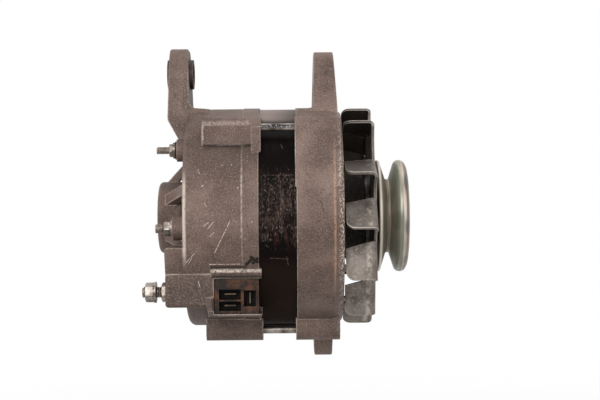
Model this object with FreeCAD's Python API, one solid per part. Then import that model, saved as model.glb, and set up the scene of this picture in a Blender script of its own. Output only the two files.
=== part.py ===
import FreeCAD, Part
import math
import os

from FreeCAD import Vector

# Belt driven alternator with two cast housings, an open stator core between them,
# a claw pole rotor, an outside fan and a single groove pulley.
#
# Everything is modelled about the shaft: X runs along it towards the pulley, Z is up,
# and a place round the shaft is an angle in degrees from the near side, -Y, up towards +Z.
# At the end it is all moved down, so that the origin is the drive end pivot bore's centre.
# Sizes are in millimetres. X = 0 is the middle of the drive end pivot bore.

# Stations along the shaft
joint_rear_x = -37.9  # rear housing's face on the stator core
joint_front_x = -16.8  # front housing's face on the stator core
rear_wall_outer_x = -80.3  # flat rear face of the rear housing
rear_hub_end_x = -98.1  # end of the rear bearing hub
front_shoulder_x = 4.3  # where the front housing's rim starts to slope
front_face_x = 9.7  # front face of the front housing
fan_free_edge_x = 10.6  # free edges of the fan blades
fan_plate_front_x = 28.3  # outer face of the fan's plate

# Castings
casting_r = 64.8  # outside radius of both housings
casting_wall = 4.8  # wall round the windings
front_wall = 5.0  # thickness of the front end wall
rear_wall = 4.5  # thickness of the rear end wall
rear_draft = 0.4  # how much smaller the rear housing is at its rear face
joint_band = 9.3  # width of the raised band beside the rear joint
joint_band_step = 0.3  # height of that band
front_rim_drop = 3.0  # how far the front rim slopes in
rear_rim_fillet = 4.0
front_rim_fillet = 1.6
inner_fillet = 4.0
rear_lip = 1.3  # how far the rear bolt bosses reach over the stator core
front_lip = 0.7  # how far the front ones do
register_wall = 0.8  # casting left outside the core where a lip reaches over it
cast_edge = 1.2  # rounding of cast outlines

# Pivot arms and adjusting ear
pivot_height = 85.5  # pivot bores above the shaft
pivot_bore_r = 6.1
rear_arm_r = 15.3
rear_arm_half_base = 25.0
rear_arm_tip_rear_x = -90.8
rear_arm_tip_front_x = -80.0
rear_arm_root_rear_x = -91.6
rear_arm_root_front_x = -79.2
rear_arm_knee_drop = 7.1  # casting's top to where the rear edge slants in
rear_arm_foot_drop = 27.0  # casting's top to where that slant meets the rear face
rear_arm_fillet = 4.5
rear_arm_root = 12.0  # how far its root runs along the casting
arm_edge = 1.8  # rounding along the arm's edges
front_lug_r = 12.8
front_lug_half_base = 21.0
front_lug_tip = 11.4  # thickness at its tip
front_lug_rear_taper = 1.0  # how much thicker it is at its root, towards the joint
front_lug_front_taper = 2.1  # and towards the fan
ridge_start = 0.8  # from the joint to the ridge behind the lug
ridge_start_drop = 2.4  # how far that ridge is below the casting's top there
ridge_end_drop = 0.7  # and at the lug
ear_root = 5.0  # depth of lug and ear in the casting
ear_hole_height = 73.5  # adjusting hole below the shaft
ear_r = 9.5
ear_half_base = 15.0
ear_rear_x = -6.6
ear_front_x = 3.8
ear_root_step = 0.9  # how much thicker the ear is at its root, each side
ear_thread_r = 3.4  # minor radius of an M8 thread
bush_r = 8.8
bush_length = 15.3
bush_slit = 0.8
bush_stand_off = 1.9  # how far the bush stands out behind the arm

# Through bolts
bolt_core_gap = 2.8  # between a bolt and the stator core
bolt_angles = (47.5, -72.0, 168.0)
bolt_shank_r = 2.2
bolt_head_r = 4.25
bolt_head_height = 4.0
bolt_clearance = 0.35
bolt_head_clearance = 0.35
boss_r = 6.0
rear_boss_start_x = -69.5
front_boss_end_x = 8.0
head_sink = 4.5  # depth of the recess for a bolt's head
bolt_grip = 22.0  # length of thread in the rear boss
upper_boss_floor_z = 41.2  # underside of the rear housing's upper boss
boss_tab = 5.2  # width of the tab that hangs from it beside the joint
boss_tab_drop = 4.7
boss_tab_out = 2.4  # how far the tab stands out in front of the boss
rear_boss_flanks = ((42.0, 48.0), (2.0, 12.0), (10.0, 10.0))  # slope of each boss's two sides
front_boss_flanks = ((58.0, 48.0), (25.0, 12.0), (12.0, 12.0))
gentle_flank = 45.0  # a steeper slope than this runs on until it touches the housing

# Rear hub, its cone of spokes and the cooling slots
hub_r = 21.3
hub_fillet = 2.5
hub_cap = 3.0
cone_start_x = -93.4
cone_foot_r = 35.5
cone_depth = 6.5  # thickness of the cone measured along the shaft
spoke_count = 6
spoke_width = 7.0
rear_slot_inner_r = 39.5
rear_slot_rim = 10.0  # wall left outside the slots
rear_slot_angles = (112.0, 146.0, 180.0, 214.0)
rear_slot_span = 22.0

# Front hub, windows and bearing retainer
front_hub_r = 28.0
front_hub_lip_r = 15.0
front_hub_lip = 1.6
nose_root_r = 26.5  # nose in front of the bearing, inside the fan
nose_end_r = 22.5
nose_end_x = 24.0
front_window_inner_r = 32.5
front_window_rim = 13.5  # wall left outside the windows
front_window_count = 6
front_window_span = 38.0
retainer_thickness = 2.0
retainer_overlap = 2.0  # disc beyond the bearing
retainer_hole_r = 15.5
retainer_screw_circle_r = 31.0
retainer_ear_r = 5.0
retainer_screw_r = 2.0
retainer_screw_head_r = 3.6
retainer_screw_head = 2.0
retainer_screw_length = 10.0
retainer_screw_count = 3
retainer_screw_angle = 30.0

# Bearings
front_bearing_outer_r = 23.5
front_bearing_width = 14.0
front_shaft_r = 8.5
rear_bearing_outer_r = 17.5
rear_bearing_width = 11.0
rear_shaft_r = 7.5
bearing_ring = 3.2  # thickness of a bearing's rings
bearing_running_gap = 0.5  # between seal and inner ring
seal_thickness = 0.8
seal_recess = 0.3
bearing_chamfer = 0.6

# Stator
core_depth = 15.8  # from the core's outside to its bore
core_fit = 0.05
slot_count = 36
slot_width = 4.6
slot_back = 6.5  # sheet left outside the slots
winding_clearance = 0.25
end_turn_bore_step = 1.6  # end turns clear of the bore
end_turn_gap = 1.0  # end turns clear of the casting
end_turn_length = 8.5
end_turn_fillet = 2.5
lead_r = 0.9
lead_angles = (64.0, 52.0, 40.0)

# Rotor
air_gap = 0.5
pole_length = 33.0
pole_middle_x = -27.3
claw_count = 6
claw_disc_step = 8.7  # claw disc below the rotor's outside
claw_disc = 8.5
claw_root_width = 24.0
claw_tip_width = 10.0
claw_root_thickness = 9.0
claw_tip_thickness = 3.8
claw_chamfer = 1.4
claw_depth = 4.0  # how deep a claw's root goes in its disc
claw_tip_corner = 1.0
coil_step = 2.7  # field coil clear of the claws
spool_edge = 0.8  # spool's flanges above the coil
coil_clearance = 0.5
bobbin_wall = 1.2
pole_core_r = 20.0
shaft_r = 9.5
shaft_rear_x = -94.6
shaft_step = 4.0  # from the poles back to the shaft's shoulder

# Slip rings
slip_ring_r = 15.0
slip_ring_wall = 3.0
slip_ring_width = 5.6
slip_ring_gap = 1.9
slip_ring_front_x = -60.6
insulator_r = 12.0
insulator_rear_x = -82.0
insulator_front_x = -55.8
insulator_collar_r = 13.2

# Brushes and their holder
brush_width = 5.0  # along the shaft
brush_depth = 6.5
brush_length = 15.0
brush_film = 0.12  # between brush and slip ring
brush_slip = 0.12  # play of a brush in its pocket
holder_wall = 1.5
holder_half_depth = 7.2
holder_top_z = -18.0
holder_floor_z = -43.5
holder_floor = 2.0
spring_r = 2.0
spring_wall = 0.7
holder_ear = 5.5
holder_ear_width = 11.0
holder_ear_thickness = 3.0

# Regulator
regulator_length = 26.0
regulator_height = 18.0
regulator_thickness = 8.0
regulator_fins = 5
regulator_angle = -140.0
regulator_centre_r = 41.0
regulator_fin_height = 2.6

# Rectifier
rectifier_inner_r = 35.0
rectifier_gap = 3.5  # heat sinks clear of the casting
rectifier_start = -66.0
rectifier_end = 72.0
negative_plate_gap = 2.0  # standoff from the rear wall
negative_plate = 2.5
plate_spacing = 6.0  # between the two plates
positive_plate = 3.0
diode_r = 4.4
diode_height = 5.0
diode_circle_r = 42.5
positive_diode_angles = (-57.0, -28.0, 22.0)
negative_diode_angles = (-42.0, 10.0, 36.0)
terminal_board_width = 9.0
terminal_board_inset = 0.5
terminal_board_thickness = 3.0
terminal_board_start = 25.0
terminal_board_end = 70.0
standoff_wall = 2.5
stud_passage = 3.5  # room round a stud in a live plate

# Fan
fan_sheet = 1.5
fan_tip_r = 64.4
fan_disc_r = 45.0
fan_bend_r = 1.6
blade_chord = 22.0
blade_lean = 43.0  # between the chord and the radius through the tip
blade_corner = 5.0
blade_slope = 4.0  # how far the inner end slants back
first_blade_angle = -62.0
blade_gaps = (29.0, 28.0, 28.0, 36.0, 30.0, 25.0, 24.0, 24.0, 25.0, 24.0, 29.0, 28.0, 30.0)
fan_hub_hole_r = 8.6
fan_arm_arc = 5.0  # depth of the hollow between two arms
spacer_r = 12.5

# Pulley
pulley_r = 33.3
pulley_rear_x = 30.9
pulley_front_x = 48.6
groove_middle_x = 37.3
groove_bottom_r = 22.0
groove_bottom_width = 2.2
groove_bottom_fillet = 0.9
groove_angle = 36.0
pulley_rear_flange = 1.7
pulley_front_flange = 4.7
pulley_hub_r = 15.0
pulley_recess_r = 15.6
pulley_recess_x = 36.8
pulley_dish_r = 28.5
pulley_dish = 1.6
pulley_dish_edge = 2.0
pulley_boss_wall = 3.0
pulley_boss_taper = 1.6
pulley_edge_r = 29.8  # radius where the front flange's slope ends
pulley_rim_fillet = 1.5
pulley_front_fillet = 3.0  # both edges of the front flange's rim
key_start = 0.5  # from the fan to the key
nut_flats = 24.0
nut_height = 8.0
thread_r = 7.0
washer_r = 12.2
lock_washer = 2.5
shaft_front_x = 48.2
shaft_chamfer = 1.0
nut_chamfer = 1.0
key_width = 4.0
key_height = 3.0
key_length = 9.0
key_clearance = 0.05

# Output block, its stud and the connector
block_near_y = -57.0
block_far_y = -22.0
block_top_z = -16.0
block_crease_z = -31.0
block_bottom_z = -49.5
block_rear_x = -90.3
block_wall = 3.0
block_corner = 2.0
block_pocket_far_y = -50.0  # how near the upper pocket stays to the outside
connector_block_bottom_z = -54.8
connector_block_rear_x = -66.4
window_rear_x = -63.2
window_top_z = -33.4
window_bottom_z = -53.2
lip_r = 3.9
lip_z = -29.6
lip_out = 0.8
lip_rear_x = -65.0
nib_r = 1.9
nib_height = 7.6
nib_x = -65.0
nib_middle_z = -47.6
moulding_clearance = 0.3
moulding_depth = 17.0
moulding_sink = 0.6
cavity_depth = 10.0
wide_cavity_rear_x = -60.4
wide_cavity_front_x = -48.2
wide_cavity_top_z = -39.5
wide_cavity_rib_top_z = -45.2
wide_cavity_rib_bottom_z = -46.1
wide_cavity_bottom_z = -51.4
tall_cavity_rear_x = -46.6
tall_cavity_front_x = -39.9
tall_cavity_top_z = -40.0
tall_cavity_bottom_z = -48.9
spade_width = 6.3
spade_thickness = 0.8
spade_recess = 4.5
spade_length = 8.4

# Output stud, M6
output_stud_y = -36.0
output_stud_z = -42.2
output_stud_r = 3.0
output_stud_tip_x = -105.1
output_nut_flats = 10.0
output_inner_nut = 3.7
output_eye_gap = 3.1
output_washer = 1.2
output_washer_r = 6.0
output_outer_nut = 5.1
output_insulator_r = 6.2
output_insulator_flange_r = 8.0
output_insulator_flange = 1.5
output_stud_head = 3.0
output_stud_head_r = 4.0
output_tab_r = 4.2

# Middle stud, M5, and upper stud, M4
middle_stud_y = -46.0
middle_stud_z = -5.7
middle_stud_r = 2.5
middle_stud_tip_x = -96.4
middle_stud_boss_r = 6.7
middle_stud_boss = 6.5
middle_stud_washer = 0.8
middle_stud_washer_r = 5.0
middle_stud_nut = 3.9
middle_stud_flats = 8.0
upper_stud_y = -28.0
upper_stud_z = 39.0
upper_stud_r = 2.0
upper_stud_tip_x = -97.1
upper_stud_boss_r = 6.5
upper_stud_boss = 5.1
upper_stud_washer = 0.9
upper_stud_washer_r = 5.2
upper_stud_flange = 1.4
upper_stud_flange_r = 4.6
upper_stud_nut = 2.1
upper_stud_flats = 7.0
stud_clearance = 0.1
stud_head = 2.2
stud_head_step = 1.8  # head's radius above the shank's

# Values worked out from the sizes above
rear_wall_inner_x = rear_wall_outer_x + rear_wall
front_wall_inner_x = front_face_x - front_wall
casting_inner_r = casting_r - casting_wall
rear_top = casting_r - rear_draft
core_r = casting_r - register_wall
core_bore_r = core_r - core_depth
slot_bottom_r = core_r - slot_back
end_turn_inner_r = core_bore_r + end_turn_bore_step
end_turn_outer_r = casting_inner_r - end_turn_gap
lead_circle_r = (end_turn_inner_r + end_turn_outer_r) / 2
bolt_circle_r = core_r + bolt_core_gap + bolt_shank_r
rotor_r = core_bore_r - air_gap
claw_disc_r = rotor_r - claw_disc_step
coil_outer_r = rotor_r - claw_root_thickness - coil_step
rectifier_outer_r = casting_inner_r - rectifier_gap
terminal_board_outer_r = rectifier_outer_r - terminal_board_inset
terminal_board_inner_r = terminal_board_outer_r - terminal_board_width
rear_slot_outer_r = casting_inner_r - rear_slot_rim
front_window_outer_r = casting_inner_r - front_window_rim
front_bearing_front_x = front_face_x - front_hub_lip
front_bearing_rear_x = front_bearing_front_x - front_bearing_width
rear_bearing_rear_x = rear_hub_end_x + hub_cap
rear_bearing_front_x = rear_bearing_rear_x + rear_bearing_width
retainer_rear_x = front_bearing_rear_x - retainer_thickness
fan_plate_rear_x = fan_plate_front_x - fan_sheet
pole_rear_x = pole_middle_x - pole_length / 2
pole_front_x = pole_middle_x + pole_length / 2
coil_rear_x = pole_rear_x + claw_disc
coil_front_x = pole_front_x - claw_disc
negative_plate_rear_x = rear_wall_inner_x + negative_plate_gap
negative_plate_front_x = negative_plate_rear_x + negative_plate
positive_plate_rear_x = negative_plate_front_x + plate_spacing
positive_plate_front_x = positive_plate_rear_x + positive_plate
nut_rear_x = pulley_recess_x + lock_washer

AXIS = Vector(1, 0, 0)
FAR = 200.0  # longer than any cut needs
OVER = 1.0  # how far a cut or a buried foot runs past a face
TOUCH = 0.01  # two things this near are in one place


def at(radius, angle, x=0.0):
    """Point at a radius and an angle from the near side, up towards +Z."""
    turn = math.radians(angle)
    return Vector(x, -radius * math.cos(turn), radius * math.sin(turn))


def along_shaft(u, v):
    """Outline plane that holds the shaft: u along it, v the radius or height."""
    return Vector(u, 0, v)


def across_shaft(u, v):
    """Outline plane square to the shaft: u is Y and v is Z."""
    return Vector(0, u, v)


def seen_from_side(u, v):
    """Outline plane square to Y, at Y = 0: u is X and v is Z."""
    return Vector(u, 0, v)


def face(points, plane):
    """Flat face inside points (u, v) or (u, v, corner radius), joined by lines and tangent arcs."""
    corners = []
    for i, point in enumerate(points):
        here = plane(point[0], point[1])
        before = plane(*points[i - 1][:2])
        after = plane(*points[(i + 1) % len(points)][:2])
        radius = point[2] if len(point) > 2 else 0.0
        if radius <= 0:
            corners.append((here, None, here))
            continue
        back = (before - here).normalize()
        ahead = (after - here).normalize()
        half = math.acos(max(-1.0, min(1.0, back.dot(ahead)))) / 2
        reach = radius / math.tan(half)
        bisector = (back + ahead).normalize()
        middle = here + bisector * (radius / math.sin(half) - radius)
        corners.append((here + back * reach, middle, here + ahead * reach))
    edges = []
    for i, (start, middle, end) in enumerate(corners):
        if middle is not None:
            edges.append(Part.Arc(start, middle, end).toShape())
        following = corners[(i + 1) % len(corners)][0]
        if end.distanceToPoint(following) > 1e-6:
            edges.append(Part.LineSegment(end, following).toShape())
    return Part.Face(Part.Wire(edges))


def turned(points):
    """Solid turned about the shaft from an outline of (x, radius) points."""
    return face(points, along_shaft).revolve(Vector(), AXIS, 360)


def prism_along(points, x_start, x_end):
    """Outline of (y, z) points pushed along the shaft from one station to another."""
    solid = face(points, across_shaft).extrude(Vector(x_end - x_start, 0, 0))
    solid.translate(Vector(x_start, 0, 0))
    return solid


def prism_across(points, y_start, y_end):
    """Outline of (x, z) points pushed across the shaft."""
    solid = face(points, seen_from_side).extrude(Vector(0, y_end - y_start, 0))
    solid.translate(Vector(0, y_start, 0))
    return solid


def rod(radius, x_start, x_end, y=0.0, z=0.0):
    """Round bar along X."""
    return Part.makeCylinder(radius, x_end - x_start, Vector(x_start, y, z), AXIS)


def ring(inner, outer, x_start, x_end, y=0.0, z=0.0):
    """Round tube along X."""
    return rod(outer, x_start, x_end, y, z).cut(rod(inner, x_start - 1, x_end + 1, y, z))


def box(x_start, x_end, y_start, y_end, z_start, z_end):
    """Block between six planes."""
    size = (x_end - x_start, y_end - y_start, z_end - z_start)
    return Part.makeBox(*size, Vector(x_start, y_start, z_start))


def turn_about_shaft(shape, angle):
    """Copy moved round the shaft by an angle, from the near side up."""
    copy = shape.copy()
    copy.rotate(Vector(), AXIS, -angle)
    return copy


def arc_band(inner, outer, start, end, x_start, x_end):
    """Piece of a tube between two angles."""
    middle = (start + end) / 2
    outline = (
        Part.Arc(at(outer, start), at(outer, middle), at(outer, end)).toShape(),
        Part.LineSegment(at(outer, end), at(inner, end)).toShape(),
        Part.Arc(at(inner, end), at(inner, middle), at(inner, start)).toShape(),
        Part.LineSegment(at(inner, start), at(outer, start)).toShape(),
    )
    solid = Part.Face(Part.Wire(outline)).extrude(Vector(x_end - x_start, 0, 0))
    solid.translate(Vector(x_start, 0, 0))
    return solid


def hexagon(flats, x_start, x_end, y=0.0, z=0.0):
    """Six sided bar along X with flats at top and bottom."""
    radius = flats / 2 / math.cos(math.radians(30))
    points = []
    for side in range(6):
        corner = math.radians(60 * side)
        points.append((y + radius * math.cos(corner), z + radius * math.sin(corner)))
    return prism_along(points, x_start, x_end)


def nut(flats, hole, x_start, x_end, y=0.0, z=0.0):
    """Plain nut on a stud that runs along X."""
    return hexagon(flats, x_start, x_end, y, z).cut(rod(hole, x_start - 1, x_end + 1, y, z))


def fused(shapes):
    """One solid from several that touch or overlap."""
    return shapes[0].multiFuse(list(shapes[1:])).removeSplitter()


def several(shapes):
    """Separate solids kept together as one sub-part."""
    return Part.makeCompound(list(shapes))


def pointed_ear(height, radius, half_base, base, x_start, x_end):
    """Ear round a bore at a height, with straight sides that spread to a base nearer the shaft."""
    sign = 1 if height > 0 else -1
    reach = abs(height) - base
    distance = math.hypot(half_base, reach)
    lean = math.atan2(half_base, reach)
    spread = math.acos(radius / distance)
    turn = math.pi - lean - spread
    side_y = radius * math.sin(turn)
    side_z = abs(height) + radius * math.cos(turn)
    left = Vector(0, -side_y, sign * side_z)
    right = Vector(0, side_y, sign * side_z)
    top = Vector(0, 0, sign * (abs(height) + radius))
    foot_left = Vector(0, -half_base, sign * base)
    foot_right = Vector(0, half_base, sign * base)
    outline = (
        Part.LineSegment(foot_left, left).toShape(),
        Part.Arc(left, top, right).toShape(),
        Part.LineSegment(right, foot_right).toShape(),
        Part.LineSegment(foot_right, foot_left).toShape(),
    )
    solid = Part.Face(Part.Wire(outline)).extrude(Vector(x_end - x_start, 0, 0))
    solid.translate(Vector(x_start, 0, 0))
    return solid


def bolt_boss(angle, flanks, x_start, x_end):
    """Boss round a through bolt, whose two sides run into the housing at their own slopes."""
    centre = at(bolt_circle_r, angle)
    corners = []
    for side, flank in ((-1, flanks[0]), (1, flanks[1])):
        inward = at(-1, angle - side * flank)
        outward = at(1, angle + side * (90 - flank))
        start = centre + outward * boss_r
        depth = boss_r + casting_wall + bolt_circle_r - casting_r
        if flank > gentle_flank:
            depth = -start.dot(inward)
        corners.append((start, start + inward * depth))
    (low, low_foot), (high, high_foot) = corners
    middle = centre + at(boss_r, angle + (flanks[0] - flanks[1]) / 2)
    outline = (
        Part.LineSegment(low_foot, low).toShape(),
        Part.Arc(low, middle, high).toShape(),
        Part.LineSegment(high, high_foot).toShape(),
        Part.LineSegment(high_foot, low_foot).toShape(),
    )
    solid = Part.Face(Part.Wire(outline)).extrude(Vector(x_end - x_start, 0, 0))
    solid.translate(Vector(x_start, 0, 0))
    return solid


# Front housing


def front_housing():
    """Drive end bracket: cup, windowed wall, bearing hub, pivot lug and adjusting ear."""
    outside = turned(
        [
            (joint_front_x, 0),
            (joint_front_x, casting_r),
            (front_shoulder_x, casting_r),
            (front_face_x, casting_r - front_rim_drop, front_rim_fillet),
            (front_face_x, nose_root_r),
            (nose_end_x, nose_end_r, cast_edge),
            (nose_end_x, 0),
        ]
    )
    base = casting_inner_r - ear_root
    lug = pointed_ear(
        pivot_height, front_lug_r, front_lug_half_base, base, joint_front_x, front_face_x
    )
    tip = front_lug_tip / 2
    rear_root = tip + front_lug_rear_taper
    front_root = tip + front_lug_front_taper
    lug_side = prism_across(
        [
            (joint_front_x + ridge_start, base),
            (joint_front_x + ridge_start, casting_r - ridge_start_drop),
            (-rear_root, casting_r - ridge_end_drop, cast_edge),
            (-tip, pivot_height + front_lug_r, cast_edge),
            (tip, pivot_height + front_lug_r, cast_edge),
            (front_root, casting_r),
            (front_root, base),
        ],
        -FAR, FAR,
    )
    ear = pointed_ear(
        -ear_hole_height, ear_r, ear_half_base, base, joint_front_x, front_face_x
    )
    ear_side = prism_across(
        [
            (ear_rear_x - ear_root_step, -base),
            (ear_rear_x, -ear_hole_height - ear_r, cast_edge),
            (ear_front_x, -ear_hole_height - ear_r, cast_edge),
            (ear_front_x + ear_root_step, -base),
        ],
        -FAR, FAR,
    )
    bosses = []
    for angle, flanks in zip(bolt_angles, front_boss_flanks):
        bosses.append(bolt_boss(angle, flanks, joint_front_x - front_lip, front_boss_end_x))
    body = fused([outside, lug.common(lug_side), ear.common(ear_side)] + bosses)
    cavity = turned(
        [
            (joint_front_x - FAR, 0),
            (joint_front_x - FAR, core_r + core_fit),
            (joint_front_x, core_r + core_fit),
            (joint_front_x, casting_inner_r),
            (front_wall_inner_x, casting_inner_r, inner_fillet),
            (front_wall_inner_x, front_hub_r, inner_fillet / 2),
            (front_bearing_rear_x, front_hub_r),
            (front_bearing_rear_x, front_bearing_outer_r),
            (front_bearing_front_x, front_bearing_outer_r),
            (front_bearing_front_x, 0),
        ]
    )
    body = body.cut(cavity)
    screw_bosses = []
    for place in retainer_screw_places():
        boss = rod(retainer_ear_r, front_bearing_rear_x, front_wall_inner_x + OVER, place.y, place.z)
        screw_bosses.append(boss.cut(rod(front_bearing_outer_r, -FAR, FAR)))
    body = fused([body] + screw_bosses)
    cuts = [rod(front_hub_lip_r, 0, FAR)]
    for i in range(front_window_count):
        middle = 360 / front_window_count * i
        cuts.append(
            arc_band(
                front_window_inner_r, front_window_outer_r,
                middle - front_window_span / 2, middle + front_window_span / 2,
                front_wall_inner_x - OVER, front_face_x + OVER,
            )
        )
    for place in retainer_screw_places():
        tip = retainer_rear_x + retainer_screw_length
        cuts.append(rod(retainer_screw_r, front_bearing_rear_x - OVER, tip, place.y, place.z))
    for angle in bolt_angles:
        hole = at(bolt_circle_r, angle)
        cuts.append(rod(bolt_shank_r + bolt_clearance, -FAR, FAR, hole.y, hole.z))
        head_r = bolt_head_r + bolt_head_clearance
        cuts.append(rod(head_r, front_boss_end_x - head_sink, FAR, hole.y, hole.z))
    cuts.append(rod(pivot_bore_r, -FAR, FAR, 0, pivot_height))
    cuts.append(rod(ear_thread_r, -FAR, FAR, 0, -ear_hole_height))
    for cut in cuts:
        body = body.cut(cut)
    return body


def retainer_screw_places():
    """Centres of the screws that hold the bearing retainer."""
    places = []
    for i in range(retainer_screw_count):
        angle = retainer_screw_angle + 360 / retainer_screw_count * i
        places.append(at(retainer_screw_circle_r, angle))
    return places


def bearing_retainer():
    """Plate with three ears that keeps the front bearing in its hub."""
    disc = rod(front_bearing_outer_r + retainer_overlap, retainer_rear_x, front_bearing_rear_x)
    corners = []
    for i in range(retainer_screw_count):
        angle = retainer_screw_angle + 360 / retainer_screw_count * i
        half_corner = math.radians(90 - 180 / retainer_screw_count)
        point = at(retainer_screw_circle_r + retainer_ear_r / math.sin(half_corner), angle)
        corners.append((point.y, point.z, retainer_ear_r))
    plate = prism_along(corners, retainer_rear_x, front_bearing_rear_x)
    plate = fused([disc, plate]).cut(rod(retainer_hole_r, -FAR, FAR))
    for place in retainer_screw_places():
        plate = plate.cut(rod(retainer_screw_r, -FAR, FAR, place.y, place.z))
    return plate


def retainer_screws():
    """Pan head screws of the bearing retainer."""
    screws = []
    for place in retainer_screw_places():
        head_rear_x = retainer_rear_x - retainer_screw_head
        head = rod(retainer_screw_head_r, head_rear_x, retainer_rear_x, place.y, place.z)
        tip = retainer_rear_x + retainer_screw_length
        screws.append(fused([head, rod(retainer_screw_r, head_rear_x, tip, place.y, place.z)]))
    return several(screws)


# Rear housing


def output_block():
    """Solid block low on the near side, behind which the output stud stands out."""
    sector = rod(rear_top, block_rear_x, joint_rear_x).common(
        box(block_rear_x, joint_rear_x, -FAR, block_far_y, block_bottom_z, block_top_z)
    )
    corner = prism_along(
        [
            (block_near_y, block_crease_z),
            (block_near_y, block_bottom_z, block_corner),
            (block_far_y, block_bottom_z),
            (block_far_y, block_crease_z),
        ],
        block_rear_x, joint_rear_x,
    )
    connector_part = prism_along(
        [
            (block_near_y, block_crease_z),
            (block_near_y, connector_block_bottom_z, block_corner),
            (block_far_y, connector_block_bottom_z),
            (block_far_y, block_crease_z),
        ],
        connector_block_rear_x, joint_rear_x + rear_lip,
    )
    block = fused([sector, corner])
    edges = []
    for edge in block.Edges:
        middle = edge.CenterOfMass
        if abs(middle.x - block_rear_x) < TOUCH and middle.y < block_far_y - OVER:
            edges.append(edge)
    rounded = block.makeFillet(block_corner, edges)
    return fused([rounded, connector_part])


def lip_bar():
    """Rounded bar that shelters the connector from above."""
    depth = math.sqrt(casting_r**2 - lip_z**2) - lip_r + lip_out
    bar = Part.makeCylinder(
        lip_r, joint_rear_x + rear_lip - lip_rear_x,
        Vector(lip_rear_x, -depth, lip_z), AXIS,
    )
    edges = [edge for edge in bar.Edges if abs(edge.CenterOfMass.x - lip_rear_x) < TOUCH]
    return bar.makeFillet(lip_r / 2, edges)


def block_pocket():
    """Hollow behind the rear wall that makes room for the output stud's insulator."""
    near_y = block_near_y + block_wall
    bottom_z = block_bottom_z + block_wall
    limit = rod(rear_top - block_wall, block_rear_x + block_wall, joint_rear_x)
    upper = limit.common(
        box(-FAR, FAR, -FAR, block_far_y - block_wall, bottom_z, block_top_z - block_wall)
    )
    lower = box(
        block_rear_x + block_wall, connector_block_rear_x + block_wall,
        near_y, block_far_y - block_wall, bottom_z, block_crease_z - block_wall,
    )
    near = box(-FAR, FAR, -FAR, block_pocket_far_y, -FAR, FAR)
    return fused([upper.common(near), lower])


def rear_arm():
    """Pivot arm of the rear housing, tapered from root to tip."""
    foot_z = rear_top - rear_arm_foot_drop
    top_z = pivot_height + rear_arm_r
    arm = pointed_ear(
        pivot_height, rear_arm_r, rear_arm_half_base, foot_z,
        rear_arm_root_rear_x - OVER, rear_arm_root_front_x + rear_arm_root,
    )
    side = prism_across(
        [
            (rear_arm_tip_rear_x, top_z, arm_edge),
            (rear_arm_tip_front_x, top_z, arm_edge),
            (rear_arm_root_front_x, rear_top, rear_arm_fillet),
            (rear_arm_root_front_x + rear_arm_root, rear_top - OVER),
            (rear_arm_root_front_x + rear_arm_root, foot_z),
            (rear_wall_outer_x, foot_z),
            (rear_arm_root_rear_x, rear_top - rear_arm_knee_drop, rear_arm_fillet),
        ],
        -FAR, FAR,
    )
    return arm.common(side)


def upper_boss_tab():
    """Rounded tab that hangs from the upper boss beside the joint."""
    centre = at(bolt_circle_r, bolt_angles[0])
    end_x = joint_rear_x + rear_lip
    near_y = centre.y - boss_r - boss_tab_out
    return prism_across(
        [
            (end_x - boss_tab, upper_boss_floor_z - boss_tab_drop, cast_edge),
            (end_x, upper_boss_floor_z - boss_tab_drop, cast_edge),
            (end_x, centre.z),
            (end_x - boss_tab, centre.z),
        ],
        near_y, centre.y,
    )


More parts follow.
